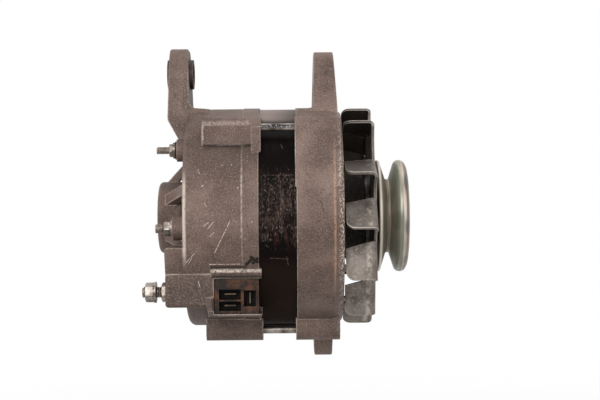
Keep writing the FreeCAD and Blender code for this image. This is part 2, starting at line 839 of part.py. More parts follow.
def rear_housing():
    """Slip ring end bracket: cup, coned bearing hub, pivot arm, stud bosses and output block."""
    outside = turned(
        [
            (joint_rear_x, 0),
            (joint_rear_x, casting_r),
            (joint_rear_x - joint_band, casting_r),
            (joint_rear_x - joint_band, casting_r - joint_band_step),
            (rear_wall_outer_x, rear_top, rear_rim_fillet),
            (rear_wall_outer_x, cone_foot_r),
            (cone_start_x, hub_r),
            (rear_hub_end_x, hub_r, hub_fillet),
            (rear_hub_end_x, 0),
        ]
    )
    bosses = []
    for angle, flanks in zip(bolt_angles, rear_boss_flanks):
        boss = bolt_boss(angle, flanks, rear_boss_start_x, joint_rear_x + rear_lip)
        bosses.append(boss.cut(box(-FAR, FAR, -FAR, 0, 0, upper_boss_floor_z)))
    bosses.append(upper_boss_tab())
    bosses.append(
        rod(
            middle_stud_boss_r, rear_wall_outer_x - middle_stud_boss, rear_wall_inner_x,
            middle_stud_y, middle_stud_z,
        )
    )
    bosses.append(
        rod(
            upper_stud_boss_r, rear_wall_outer_x - upper_stud_boss, rear_wall_inner_x,
            upper_stud_y, upper_stud_z,
        )
    )
    body = fused([outside, rear_arm(), output_block(), lip_bar()] + bosses)
    cavity = turned(
        [
            (rear_bearing_rear_x, 0),
            (rear_bearing_rear_x, rear_bearing_outer_r),
            (rear_bearing_front_x, rear_bearing_outer_r),
            (rear_bearing_front_x, hub_r),
            (cone_start_x + cone_depth, hub_r),
            (rear_wall_inner_x, cone_inner_r()),
            (rear_wall_inner_x, casting_inner_r, inner_fillet),
            (joint_rear_x, casting_inner_r),
            (joint_rear_x, core_r + core_fit),
            (joint_rear_x + FAR, core_r + core_fit),
            (joint_rear_x + FAR, 0),
        ]
    )
    cuts = [cavity, block_pocket()] + cone_windows() + rear_slots() + connector_window()
    for angle in bolt_angles:
        hole = at(bolt_circle_r, angle)
        start = joint_rear_x + rear_lip - bolt_grip
        cuts.append(rod(bolt_shank_r, start, FAR, hole.y, hole.z))
    cuts.append(rod(bush_r, -FAR, joint_rear_x, 0, pivot_height))
    cuts.append(rod(output_insulator_r, -FAR, block_rear_x + block_wall, output_stud_y, output_stud_z))
    for y, z, radius in (
        (middle_stud_y, middle_stud_z, middle_stud_r),
        (upper_stud_y, upper_stud_z, upper_stud_r),
    ):
        cuts.append(rod(radius + stud_clearance, -FAR, rear_wall_inner_x + OVER, y, z))
    for cut in cuts:
        body = body.cut(cut)
    nib = rod(nib_r, -nib_height / 2, nib_height / 2)
    nib.rotate(Vector(), Vector(0, 1, 0), 90)
    nib.translate(Vector(nib_x, block_near_y, nib_middle_z))
    return fused([body, nib])


def cone_inner_r():
    """Radius where the inside of the spoked cone meets the rear wall's inner face."""
    slope = (cone_foot_r - hub_r) / (rear_wall_outer_x - cone_start_x)
    return hub_r + slope * (rear_wall_inner_x - cone_start_x - cone_depth)


def cone_windows():
    """Openings between the sloping spokes round the rear hub."""
    opening = ring(hub_r, cone_foot_r, cone_start_x - OVER, rear_wall_inner_x + OVER)
    for i in range(spoke_count):
        spoke = box(-FAR, FAR, -FAR, 0, -spoke_width / 2, spoke_width / 2)
        opening = opening.cut(turn_about_shaft(spoke, 360 / spoke_count * (i + 0.5)))
    return [opening]


def rear_slots():
    """Cooling slots through the rear wall on the far side."""
    slots = []
    for angle in rear_slot_angles:
        slots.append(
            arc_band(
                rear_slot_inner_r, rear_slot_outer_r,
                angle - rear_slot_span / 2, angle + rear_slot_span / 2,
                rear_wall_outer_x - OVER, rear_wall_inner_x + OVER,
            )
        )
    return slots


def connector_window():
    """Window for the connector moulding, open towards the stator."""
    window = box(
        window_rear_x, FAR, -FAR, block_near_y + moulding_depth + OVER,
        window_bottom_z, window_top_z,
    )
    return [window]


def pivot_bush():
    """Split steel sleeve pressed in the rear arm."""
    start = rear_arm_tip_rear_x - bush_stand_off
    sleeve = ring(pivot_bore_r, bush_r, start, start + bush_length, 0, pivot_height)
    slit = box(-FAR, FAR, -bush_slit / 2, bush_slit / 2, 0, pivot_height)
    return sleeve.cut(slit)


def through_bolts():
    """Three long screws that clamp the housings on the stator core."""
    bolts = []
    for angle in bolt_angles:
        centre = at(bolt_circle_r, angle)
        seat = front_boss_end_x - head_sink
        start = joint_rear_x + rear_lip - bolt_grip + OVER
        shank = rod(bolt_shank_r, start, seat + OVER, centre.y, centre.z)
        head = rod(bolt_head_r, seat, seat + bolt_head_height, centre.y, centre.z)
        bolts.append(fused([shank, head]))
    return several(bolts)


# Bearings


def bearing_outer(outer, bore, x_start, width):
    """Outer ring of a sealed ball bearing with its two seals."""
    band_r = outer - bearing_ring
    seal_r = bore + bearing_ring + bearing_running_gap
    x_end = x_start + width
    return turned(
        [
            (x_start, outer - bearing_chamfer),
            (x_start, band_r),
            (x_start + seal_recess, band_r),
            (x_start + seal_recess, seal_r),
            (x_start + seal_recess + seal_thickness, seal_r),
            (x_start + seal_recess + seal_thickness, band_r),
            (x_end - seal_recess - seal_thickness, band_r),
            (x_end - seal_recess - seal_thickness, seal_r),
            (x_end - seal_recess, seal_r),
            (x_end - seal_recess, band_r),
            (x_end, band_r),
            (x_end, outer - bearing_chamfer),
            (x_end - bearing_chamfer, outer),
            (x_start + bearing_chamfer, outer),
        ]
    )


def bearing_inner(bore, x_start, width):
    """Inner ring of a sealed ball bearing, on the shaft."""
    return ring(bore, bore + bearing_ring, x_start, x_start + width)


# Stator


def stator_core():
    """Pack of slotted sheets, with open slots on its bore."""
    core = ring(core_bore_r, core_r, joint_rear_x, joint_front_x)
    slots = []
    for i in range(slot_count):
        slot = box(
            joint_rear_x - OVER, joint_front_x + OVER, -slot_bottom_r, -core_bore_r + 2 * OVER,
            -slot_width / 2, slot_width / 2,
        )
        slots.append(turn_about_shaft(slot, 360 / slot_count * i))
    return core.cut(Part.makeCompound(slots))


def stator_winding():
    """Varnished winding: a bar in each slot and a bundle of end turns at each side."""
    bundles = []
    for side in (-1, 1):
        start = joint_rear_x if side < 0 else joint_front_x
        near_x = start + side * winding_clearance
        far_x = start + side * end_turn_length
        bundles.append(
            turned(
                [
                    (near_x, end_turn_inner_r),
                    (near_x, end_turn_outer_r),
                    (far_x, end_turn_outer_r, end_turn_fillet),
                    (far_x, end_turn_inner_r, end_turn_fillet),
                ]
            )
        )
    bars = []
    half = slot_width / 2 - winding_clearance
    for i in range(slot_count):
        bar = box(
            joint_rear_x - OVER, joint_front_x + OVER,
            -slot_bottom_r + winding_clearance, -end_turn_inner_r, -half, half,
        )
        bars.append(turn_about_shaft(bar, 360 / slot_count * i))
    return fused(bundles + bars)


def stator_leads():
    """Three leads from the winding to the terminal board."""
    leads = []
    start = positive_plate_front_x + terminal_board_thickness
    end = joint_rear_x - end_turn_length + OVER
    for angle in lead_angles:
        centre = at(lead_circle_r, angle)
        leads.append(rod(lead_r, start, end, centre.y, centre.z).cut(stator_winding_bundle()))
    return several(leads)


def stator_winding_bundle():
    """Space of the rear end turns, which the leads stop at."""
    far_x = joint_rear_x - end_turn_length
    return ring(end_turn_inner_r, end_turn_outer_r, far_x, joint_rear_x)


# Rotor


def shaft():
    """Stepped shaft with a seat for each bearing, the poles and the pulley."""
    return turned(
        [
            (shaft_rear_x, 0),
            (shaft_rear_x, rear_shaft_r, shaft_chamfer),
            (rear_bearing_front_x, rear_shaft_r),
            (rear_bearing_front_x, front_shaft_r),
            (pole_rear_x - shaft_step, front_shaft_r),
            (pole_rear_x - shaft_step, shaft_r),
            (front_bearing_rear_x, shaft_r),
            (front_bearing_rear_x, front_shaft_r),
            (pulley_recess_x, front_shaft_r),
            (pulley_recess_x, thread_r),
            (shaft_front_x, thread_r, shaft_chamfer),
            (shaft_front_x, 0),
        ]
    ).cut(key_space())


def key_space():
    """Seat of the key in the shaft, under the pulley's hub."""
    start = fan_plate_front_x + key_start - key_clearance
    end = start + key_length + 2 * key_clearance
    half = key_width / 2 + key_clearance
    return box(start, min(end, pulley_recess_x), -half, half, front_shaft_r - key_height / 2, FAR)


def shaft_key():
    """Key that drives the pulley."""
    start = fan_plate_front_x + key_start
    end = min(start + key_length, pulley_recess_x - key_clearance)
    bottom = front_shaft_r - key_height / 2 + key_clearance
    return box(start, end, -key_width / 2, key_width / 2, bottom, bottom + key_height - 2 * key_clearance)


def claw(disc_x, towards):
    """One claw pole piece: a disc whose fingers reach over the field coil."""
    disc_end = disc_x + towards * claw_disc
    disc = rod(claw_disc_r, min(disc_x, disc_end), max(disc_x, disc_end))
    far_x = disc_x + towards * pole_length
    inner_r = rotor_r - claw_root_thickness
    shell = turned(
        [
            (disc_x, inner_r - claw_depth),
            (disc_x, rotor_r, claw_chamfer),
            (far_x, rotor_r, claw_chamfer / 2),
            (far_x, rotor_r - claw_tip_thickness),
            (disc_end, inner_r),
            (disc_end, inner_r - claw_depth),
        ]
    )
    fingers = []
    for i in range(claw_count):
        outline = [
            (disc_x, -claw_root_width / 2),
            (disc_end, -claw_root_width / 2),
            (far_x, -claw_tip_width / 2, claw_tip_corner),
            (far_x, claw_tip_width / 2, claw_tip_corner),
            (disc_end, claw_root_width / 2),
            (disc_x, claw_root_width / 2),
        ]
        wedge = prism_across(outline, -FAR, 0)
        fingers.append(turn_about_shaft(shell.common(wedge), 360 / claw_count * i))
    return fused([disc] + fingers).cut(rod(shaft_r, -FAR, FAR))


def rotor_core():
    """Iron sleeve between the claw discs, inside the coil."""
    return ring(shaft_r, pole_core_r, coil_rear_x, coil_front_x)


def coil_bobbin():
    """Moulded spool that carries the field winding."""
    outer = coil_outer_r + spool_edge
    inner = pole_core_r + core_fit
    start = coil_rear_x + coil_clearance / 4
    end = coil_front_x - coil_clearance / 4
    spool = ring(inner, outer, start, end)
    space = ring(inner + bobbin_wall, outer + OVER, start + bobbin_wall, end - bobbin_wall)
    return spool.cut(space)


def field_coil():
    """Field winding on its spool."""
    inner = pole_core_r + core_fit + bobbin_wall
    start = coil_rear_x + coil_clearance / 4 + bobbin_wall
    end = coil_front_x - coil_clearance / 4 - bobbin_wall
    return ring(inner, coil_outer_r, start, end)


def slip_ring_start(index):
    """Rear edge of a slip ring, counted from the rotor."""
    return slip_ring_front_x - slip_ring_width - index * (slip_ring_width + slip_ring_gap)


def slip_ring(index):
    """Copper ring that one brush runs on."""
    start = slip_ring_start(index)
    return ring(slip_ring_r - slip_ring_wall, slip_ring_r, start, start + slip_ring_width)


def slip_ring_insulator():
    """Moulded sleeve that carries both rings on the shaft, with a collar beside each."""
    sleeve = rod(insulator_r, insulator_rear_x, insulator_front_x)
    gap_start = slip_ring_start(0) - slip_ring_gap
    collars = [
        rod(insulator_collar_r, gap_start, gap_start + slip_ring_gap),
        rod(insulator_collar_r, slip_ring_front_x, insulator_front_x),
        rod(insulator_collar_r, insulator_rear_x, slip_ring_start(1)),
    ]
    return fused([sleeve] + collars).cut(rod(front_shaft_r, -FAR, FAR))


# Brush gear


def brush_middle_x(index):
    """Middle of a brush along the shaft."""
    return slip_ring_start(index) + slip_ring_width / 2


def brush_top_z():
    """Height of a brush's working face."""
    return -slip_ring_r - brush_film


def brush(index):
    """Carbon brush, hollowed to the slip ring's curve."""
    middle = brush_middle_x(index)
    block = box(
        middle - brush_width / 2, middle + brush_width / 2,
        -brush_depth / 2, brush_depth / 2, brush_top_z() - brush_length, 0,
    )
    return block.cut(rod(slip_ring_r + brush_film, -FAR, FAR))


def brush_spring(index):
    """Coil spring under a brush, as the sleeve that its turns fill."""
    middle = brush_middle_x(index)
    start = holder_floor_z + holder_floor
    length = brush_top_z() - brush_length - start
    outer = Part.makeCylinder(spring_r, length, Vector(middle, 0, start))
    hollow = Part.makeCylinder(spring_r - spring_wall, length, Vector(middle, 0, start))
    return outer.cut(hollow)


def brush_holder():
    """Moulded holder with a pocket for each brush and an ear on the rear wall."""
    start = brush_middle_x(1) - brush_width / 2 - brush_slip - holder_wall
    end = brush_middle_x(0) + brush_width / 2 + brush_slip + holder_wall
    body = box(start, end, -holder_half_depth, holder_half_depth, holder_floor_z, holder_top_z)
    for index in range(2):
        middle = brush_middle_x(index)
        half_x = brush_width / 2 + brush_slip
        half_y = brush_depth / 2 + brush_slip
        pocket = box(
            middle - half_x, middle + half_x, -half_y, half_y,
            holder_floor_z + holder_floor, 0,
        )
        body = body.cut(pocket)
    ears = []
    for side in (-1, 1):
        inner = side * (holder_half_depth - OVER)
        outer = side * (holder_half_depth + holder_ear)
        ears.append(
            box(
                rear_wall_inner_x, rear_wall_inner_x + holder_ear_thickness,
                min(inner, outer), max(inner, outer),
                holder_floor_z, holder_floor_z + holder_ear_width,
            )
        )
    foot = box(
        rear_wall_inner_x, start + OVER, -holder_half_depth, holder_half_depth,
        holder_floor_z, holder_floor_z + holder_ear_width,
    )
    return fused([body, foot] + ears)


def regulator():
    """Potted regulator with cooling fins, on the rear wall's inner face."""
    centre = at(regulator_centre_r, regulator_angle)
    start = rear_wall_inner_x
    body = box(
        start, start + regulator_thickness, -regulator_length / 2, regulator_length / 2,
        -regulator_height / 2, regulator_height / 2,
    )
    pitch = regulator_length / regulator_fins
    fins = []
    for i in range(regulator_fins):
        y = -regulator_length / 2 + (i + 0.5) * pitch
        fins.append(
            box(
                start + regulator_thickness - OVER,
                start + regulator_thickness + regulator_fin_height,
                y - pitch / 4, y + pitch / 4, -regulator_height / 2, regulator_height / 2,
            )
        )
    block = fused([body] + fins)
    block.rotate(Vector(), AXIS, 90 - (regulator_angle + 180))
    block.translate(Vector(0, centre.y, centre.z))
    return block


# Rectifier


def rectifier_plate(x_start, x_end):
    """Horseshoe shaped heat sink round the slip rings."""
    return arc_band(
        rectifier_inner_r, rectifier_outer_r, rectifier_start, rectifier_end, x_start, x_end
    )


def rectifier_negative_plate():
    """Heat sink that is earthed on the rear wall through its standoffs."""
    plate = rectifier_plate(negative_plate_rear_x, negative_plate_front_x)
    standoffs = []
    for y, z, radius in stud_seats():
        outer = radius + standoff_wall
        standoffs.append(rod(outer, rear_wall_inner_x, negative_plate_rear_x + OVER, y, z))
    plate = fused([plate] + standoffs)
    for y, z, radius in stud_seats():
        plate = plate.cut(rod(radius + stud_clearance, -FAR, FAR, y, z))
    passage = rod(output_stud_head_r + 2 * OVER, -FAR, FAR, output_stud_y, output_stud_z)
    return plate.cut(passage)


def stud_seats():
    """Place and radius of the two studs that hold the negative heat sink."""
    return (
        (middle_stud_y, middle_stud_z, middle_stud_r),
        (upper_stud_y, upper_stud_z, upper_stud_r),
    )


def rectifier_positive_plate():
    """Insulated heat sink that the output stud is fastened to."""
    plate = rectifier_plate(positive_plate_rear_x, positive_plate_front_x)
    tab = rod(
        output_tab_r, positive_plate_rear_x, positive_plate_front_x,
        output_stud_y, output_stud_z,
    )
    plate = fused([plate, tab])
    for y, z, radius in stud_seats():
        plate = plate.cut(rod(radius + stud_passage, -FAR, FAR, y, z))
    return plate.cut(rod(output_stud_r, -FAR, FAR, output_stud_y, output_stud_z))


def diodes(angles, x_start, x_end):
    """Button diodes pressed on a heat sink."""
    buttons = []
    for angle in angles:
        centre = at(diode_circle_r, angle)
        buttons.append(rod(diode_r, x_start, x_end, centre.y, centre.z))
    return several(buttons)


def terminal_board():
    """Insulating board that carries the leads over the positive heat sink."""
    start = positive_plate_front_x
    return arc_band(
        terminal_board_inner_r, terminal_board_outer_r,
        terminal_board_start, terminal_board_end,
        start, start + terminal_board_thickness,
    ).cut(rod(upper_stud_r + stud_passage, -FAR, FAR, upper_stud_y, upper_stud_z))


# Studs


def output_stud():
    """Stud from the positive heat sink out through the block."""
    head_x = positive_plate_front_x
    shank = rod(output_stud_r, output_stud_tip_x, head_x + OVER, output_stud_y, output_stud_z)
    head = rod(output_stud_head_r, head_x, head_x + output_stud_head, output_stud_y, output_stud_z)
    return fused([shank, head])


def output_stud_insulator():
    """Stepped bush that keeps the output stud off the casting."""
    y = output_stud_y
    z = output_stud_z
    inner_face = block_rear_x + block_wall
    flange_end = inner_face + output_insulator_flange
    bush = rod(output_insulator_r, block_rear_x, inner_face, y, z)
    flange = rod(output_insulator_flange_r, inner_face, flange_end, y, z)
    limit = box(-FAR, FAR, block_near_y + block_wall, FAR, block_bottom_z + block_wall, FAR)
    solid = fused([bush, flange.common(limit)])
    return solid.cut(rod(output_stud_r, -FAR, FAR, y, z))


def output_sleeve():
    """Spacer between the insulator and the positive heat sink."""
    start = block_rear_x + block_wall + output_insulator_flange
    outer_r = output_tab_r - stud_clearance
    return ring(output_stud_r, outer_r, start, positive_plate_rear_x, output_stud_y, output_stud_z)


def output_stud_nuts():
    """Two nuts, with room for a cable eye between them."""
    y = output_stud_y
    z = output_stud_z
    inner_start = block_rear_x - output_inner_nut
    outer_end = inner_start - output_eye_gap - output_washer
    return several(
        [
            nut(output_nut_flats, output_stud_r, inner_start, block_rear_x, y, z),
            nut(output_nut_flats, output_stud_r, outer_end - output_outer_nut, outer_end, y, z),
        ]
    )


def output_stud_washer():
    """Washer in front of the outer nut."""
    end = block_rear_x - output_inner_nut - output_eye_gap
    return ring(output_stud_r, output_washer_r, end - output_washer, end, output_stud_y, output_stud_z)


def stud(tip_x, radius, y, z):
    """Screw whose head is inside, against the negative heat sink."""
    body = rod(radius, tip_x, negative_plate_front_x + OVER, y, z)
    head_end = negative_plate_front_x + stud_head
    head = rod(radius + stud_head_step, negative_plate_front_x, head_end, y, z)
    return fused([body, head])


def middle_stud_seat_x():
    """Face that the middle stud's washer lies on."""
    return rear_wall_outer_x - middle_stud_boss


def middle_stud_nut_solid():
    """Nut of the middle stud."""
    end = middle_stud_seat_x() - middle_stud_washer
    return nut(middle_stud_flats, middle_stud_r, end - middle_stud_nut, end, middle_stud_y, middle_stud_z)


def middle_stud_washer_solid():
    """Washer of the middle stud."""
    end = middle_stud_seat_x()
    start = end - middle_stud_washer
    return ring(middle_stud_r, middle_stud_washer_r, start, end, middle_stud_y, middle_stud_z)


def upper_stud_seat_x():
    """Face that the upper stud's insulating washer lies on."""
    return rear_wall_outer_x - upper_stud_boss


def upper_stud_washer_solid():
    """Insulating washer of the upper stud."""
    end = upper_stud_seat_x()
    start = end - upper_stud_washer
    return ring(upper_stud_r, upper_stud_washer_r, start, end, upper_stud_y, upper_stud_z)


def upper_stud_nut_solid():
    """Flanged nut of the upper stud."""
    end = upper_stud_seat_x() - upper_stud_washer
    flange_start = end - upper_stud_flange
    y = upper_stud_y
    z = upper_stud_z
    flange = ring(upper_stud_r, upper_stud_flange_r, flange_start, end, y, z)
    hexagonal = nut(upper_stud_flats, upper_stud_r, flange_start - upper_stud_nut, flange_start, y, z)
    return fused([flange, hexagonal])


# Connector


def connector_housing():
    """Moulding with two wide cavities side by side over each other and a tall one."""
    near_y = block_near_y + moulding_sink
    far_y = block_near_y + moulding_depth
    body = box(
        window_rear_x + moulding_clearance, joint_rear_x - moulding_clearance,
        near_y, far_y,
        window_bottom_z + moulding_clearance, window_top_z - moulding_clearance,
    )
    body = body.cut(rod(end_turn_outer_r + moulding_clearance, -FAR, FAR))
    for x_start, x_end, z_start, z_end in connector_cavities():
        body = body.cut(box(x_start, x_end, near_y - OVER, near_y + cavity_depth, z_start, z_end))
    for spade in spade_blades():
        body = body.cut(spade)
    return body


def connector_cavities():
    """Bounds of the three cavities: rear, front, bottom and top."""
    return (
        (wide_cavity_rear_x, wide_cavity_front_x, wide_cavity_rib_top_z, wide_cavity_top_z),
        (wide_cavity_rear_x, wide_cavity_front_x, wide_cavity_bottom_z, wide_cavity_rib_bottom_z),
        (tall_cavity_rear_x, tall_cavity_front_x, tall_cavity_bottom_z, tall_cavity_top_z),
    )


def spade_blades():
    """Flat blades, lying in the wide cavities and upright in the tall one."""
    blades = []
    start_y = block_near_y + moulding_sink + spade_recess
    end_y = start_y + spade_length
    for x_start, x_end, z_start, z_end in connector_cavities():
        middle_x = (x_start + x_end) / 2
        middle_z = (z_start + z_end) / 2
        lying = x_end - x_start > z_end - z_start
        half_x = spade_width / 2 if lying else spade_thickness / 2
        half_z = spade_thickness / 2 if lying else spade_width / 2
        blades.append(
            box(
                middle_x - half_x, middle_x + half_x, start_y, end_y,
                middle_z - half_z, middle_z + half_z,
            )
        )
    return blades


# Fan and pulley


def blade_tip_angles():
    """Angle of each blade's tip, from the near side up."""
    angles = [first_blade_angle]
    for gap in blade_gaps[:-1]:
        angles.append(angles[-1] + gap)
    return angles


def fan_blade():
    """Blade for a tip at the near side: bent off the plate along the chord, then trimmed."""
    depth = fan_plate_front_x - fan_free_edge_x
    outer_bend = fan_bend_r + fan_sheet
    section = Part.Wire(
        [
            Part.LineSegment(Vector(-depth, 0, 0), Vector(-outer_bend, 0, 0)).toShape(),
            Part.Arc(
                Vector(-outer_bend, 0, 0),
                Vector(
                    -outer_bend * (1 - math.sin(math.radians(45))),
                    0,
                    -outer_bend * (1 - math.cos(math.radians(45))),
                ),
                Vector(0, 0, -outer_bend),
            ).toShape(),
            Part.LineSegment(Vector(0, 0, -outer_bend), Vector(-fan_sheet, 0, -outer_bend)).toShape(),
            Part.Arc(
                Vector(-fan_sheet, 0, -outer_bend),
                Vector(
                    -fan_sheet - fan_bend_r * (1 - math.sin(math.radians(45))),
                    0,
                    -fan_sheet - fan_bend_r * (1 - math.cos(math.radians(45))),
                ),
                Vector(-outer_bend, 0, -fan_sheet),
            ).toShape(),
            Part.LineSegment(Vector(-outer_bend, 0, -fan_sheet), Vector(-depth, 0, -fan_sheet)).toShape(),
            Part.LineSegment(Vector(-depth, 0, -fan_sheet), Vector(-depth, 0, 0)).toShape(),
        ]
    )
    sheet = Part.Face(section).extrude(Vector(0, blade_chord, 0))
    outline = face(
        [
            (-depth, 0, blade_corner),
            (0, 0),
            (0, blade_chord),
            (-outer_bend, blade_chord),
            (-depth, blade_chord - blade_slope),
        ],
        lambda u, v: Vector(u, v, 0),
    )
    limits = outline.extrude(Vector(0, 0, -FAR))
    blade = sheet.common(limits)
    blade.rotate(Vector(), AXIS, blade_lean)
    blade.translate(Vector(fan_plate_front_x, -fan_tip_r, 0))
    return blade


def fan_arms():
    """Plate of the fan: a disc with one arm for each blade, hollowed behind the blade."""
    angles = blade_tip_angles()
    lean = math.radians(blade_lean)
    edge = fan_bend_r + fan_sheet
    tip_y = -fan_tip_r + edge * math.sin(lean)
    tip_z = -edge * math.cos(lean)
    root_y = tip_y + blade_chord * math.cos(lean)
    root_z = tip_z + blade_chord * math.sin(lean)
    arms = []
    for i, angle in enumerate(angles):
        gap = angle - angles[i - 1] if i else blade_gaps[-1]
        tip = turn_about_shaft(Part.Vertex(Vector(0, tip_y, tip_z)), angle).Point
        root = turn_about_shaft(Part.Vertex(Vector(0, root_y, root_z)), angle).Point
        next_root = turn_about_shaft(Part.Vertex(Vector(0, root_y, root_z)), angle - gap).Point
        chord_middle = (tip + next_root) * 0.5
        hollow = chord_middle * (1 - fan_arm_arc / chord_middle.Length)
        outline = (
            Part.LineSegment(Vector(), root).toShape(),
            Part.LineSegment(root, tip).toShape(),
            Part.Arc(tip, hollow, next_root).toShape(),
            Part.LineSegment(next_root, Vector()).toShape(),
        )
        arm = Part.Face(Part.Wire(outline)).extrude(Vector(fan_sheet, 0, 0))
        arm.translate(Vector(fan_plate_rear_x, 0, 0))
        arms.append(arm)
    return arms


def fan():
    """Pressed steel fan with inclined blades at uneven spacing."""
    pieces = [rod(fan_disc_r, fan_plate_rear_x, fan_plate_front_x)]
    pieces += fan_arms()
    blade = fan_blade()
    for angle in blade_tip_angles():
        pieces.append(turn_about_shaft(blade, angle))
    return fused(pieces).cut(rod(fan_hub_hole_r, -FAR, FAR))


def fan_spacer():
    """Collar between the front bearing and the fan."""
    return ring(front_shaft_r, spacer_r, front_bearing_front_x, fan_plate_rear_x)


def pulley():
    """Turned pulley with one V groove and a recess for the nut."""
    half_bottom = groove_bottom_width / 2
    half_top = half_bottom + (pulley_r - groove_bottom_r) * math.tan(math.radians(groove_angle / 2))
    body = turned(
        [
            (fan_plate_front_x, front_shaft_r),
            (fan_plate_front_x, pulley_hub_r),
            (pulley_rear_x, pulley_hub_r + OVER, OVER),
            (pulley_rear_x, pulley_dish_r),
            (groove_middle_x - half_top - pulley_rear_flange, pulley_r, pulley_rim_fillet / 2),
            (groove_middle_x - half_top, pulley_r, pulley_rim_fillet / 2),
            (groove_middle_x - half_bottom, groove_bottom_r, groove_bottom_fillet),
            (groove_middle_x + half_bottom, groove_bottom_r, groove_bottom_fillet),
            (groove_middle_x + half_top, pulley_r, pulley_front_fillet),
            (groove_middle_x + half_top + pulley_front_flange, pulley_r, pulley_front_fillet),
            (pulley_front_x, pulley_edge_r, pulley_rim_fillet),
            (pulley_front_x, pulley_dish_r),
            (pulley_front_x - pulley_dish, pulley_dish_r - pulley_dish_edge),
            (pulley_front_x - pulley_dish, pulley_recess_r + pulley_boss_wall),
            (pulley_front_x, pulley_recess_r + pulley_boss_wall - pulley_boss_taper),
            (pulley_front_x, pulley_recess_r),
            (pulley_recess_x, pulley_recess_r),
            (pulley_recess_x, front_shaft_r),
        ]
    )
    start = fan_plate_front_x + key_start - key_clearance
    half = key_width / 2 + key_clearance
    keyway = box(start, FAR, -half, half, 0, front_shaft_r + key_height / 2 + key_clearance)
    return body.cut(keyway)


def pulley_washer():
    """Spring washer under the pulley nut."""
    return ring(thread_r, washer_r, pulley_recess_x, nut_rear_x)


def pulley_nut():
    """Nut that holds pulley and fan on the shaft."""
    body = nut(nut_flats, thread_r, nut_rear_x, nut_rear_x + nut_height)
    cone = turned(
        [
            (nut_rear_x, 0),
            (nut_rear_x, nut_flats),
            (nut_rear_x + nut_height - nut_chamfer, nut_flats / 2 + 2 * nut_chamfer),
            (nut_rear_x + nut_height, nut_flats / 2),
            (nut_rear_x + nut_height, 0),
        ]
    )
    return body.common(cone)


def sub_parts():
    """Every sub-part by its name."""
    return {
        "front_housing": front_housing(),
        "bearing_retainer": bearing_retainer(),
        "retainer_screws": retainer_screws(),
        "rear_housing": rear_housing(),
        "pivot_bush": pivot_bush(),
        "through_bolts": through_bolts(),
        "front_bearing_outer": bearing_outer(
            front_bearing_outer_r, front_shaft_r, front_bearing_rear_x, front_bearing_width
        ),
        "front_bearing_inner": bearing_inner(
            front_shaft_r, front_bearing_rear_x, front_bearing_width
        ),
        "rear_bearing_outer": bearing_outer(
            rear_bearing_outer_r, rear_shaft_r, rear_bearing_rear_x, rear_bearing_width
        ),
        "rear_bearing_inner": bearing_inner(
            rear_shaft_r, rear_bearing_rear_x, rear_bearing_width
        ),
        "stator_core": stator_core(),
        "stator_winding": stator_winding(),
        "stator_leads": stator_leads(),
        "shaft": shaft(),
        "shaft_key": shaft_key(),
        "claw_rear": claw(pole_rear_x, 1),
        "claw_front": turn_about_shaft(claw(pole_front_x, -1), 180 / claw_count),
        "rotor_core": rotor_core(),
        "coil_bobbin": coil_bobbin(),
        "field_coil": field_coil(),
        "slip_ring_inner": slip_ring(0),
        "slip_ring_outer": slip_ring(1),
        "slip_ring_insulator": slip_ring_insulator(),
        "brush_positive": brush(0),
        "brush_negative": brush(1),
        "brush_spring_positive": brush_spring(0),
        "brush_spring_negative": brush_spring(1),
        "brush_holder": brush_holder(),
        "regulator": regulator(),
        "rectifier_negative_plate": rectifier_negative_plate(),
        "rectifier_positive_plate": rectifier_positive_plate(),
        "diodes_negative": diodes(
            negative_diode_angles, negative_plate_front_x, negative_plate_front_x + diode_height
        ),
        "diodes_positive": diodes(
            positive_diode_angles, positive_plate_front_x, positive_plate_front_x + diode_height
        ),
        "terminal_board": terminal_board(),
        "output_stud": output_stud(),
        "output_stud_insulator": output_stud_insulator(),
        "output_sleeve": output_sleeve(),
        "output_stud_nuts": output_stud_nuts(),
        "output_stud_washer": output_stud_washer(),
        "middle_stud": stud(middle_stud_tip_x, middle_stud_r, middle_stud_y, middle_stud_z),
        "middle_stud_nut": middle_stud_nut_solid(),
        "middle_stud_washer": middle_stud_washer_solid(),
        "upper_stud": stud(upper_stud_tip_x, upper_stud_r, upper_stud_y, upper_stud_z),
        "upper_stud_nut": upper_stud_nut_solid(),
        "upper_stud_washer": upper_stud_washer_solid(),
        "connector_housing": connector_housing(),
        "connector_terminals": several(spade_blades()),
        "fan": fan(),
        "fan_spacer": fan_spacer(),
        "pulley": pulley(),
        "pulley_washer": pulley_washer(),
        "pulley_nut": pulley_nut(),
    }


os.makedirs("parts", exist_ok=True)
for name, solid in sub_parts().items():
    solid.translate(Vector(0, 0, -pivot_height))
    solid.exportStep(f"parts/{name}.step")
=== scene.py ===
"""Looks of a belt driven alternator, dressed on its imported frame.

The frame's own pieces keep their shape and get procedural finishes. Threads, nuts,
wire turns and springs are made here and stand for the plain pieces of the frame.
Everything is in metres, in the frame's axes: X along the shaft towards the pulley, Z up.
"""

import logging
import math
from dataclasses import dataclass, field
from enum import Enum
from typing import Any, Iterable, Sequence

import bmesh
import bpy
from mathutils import Matrix, Vector


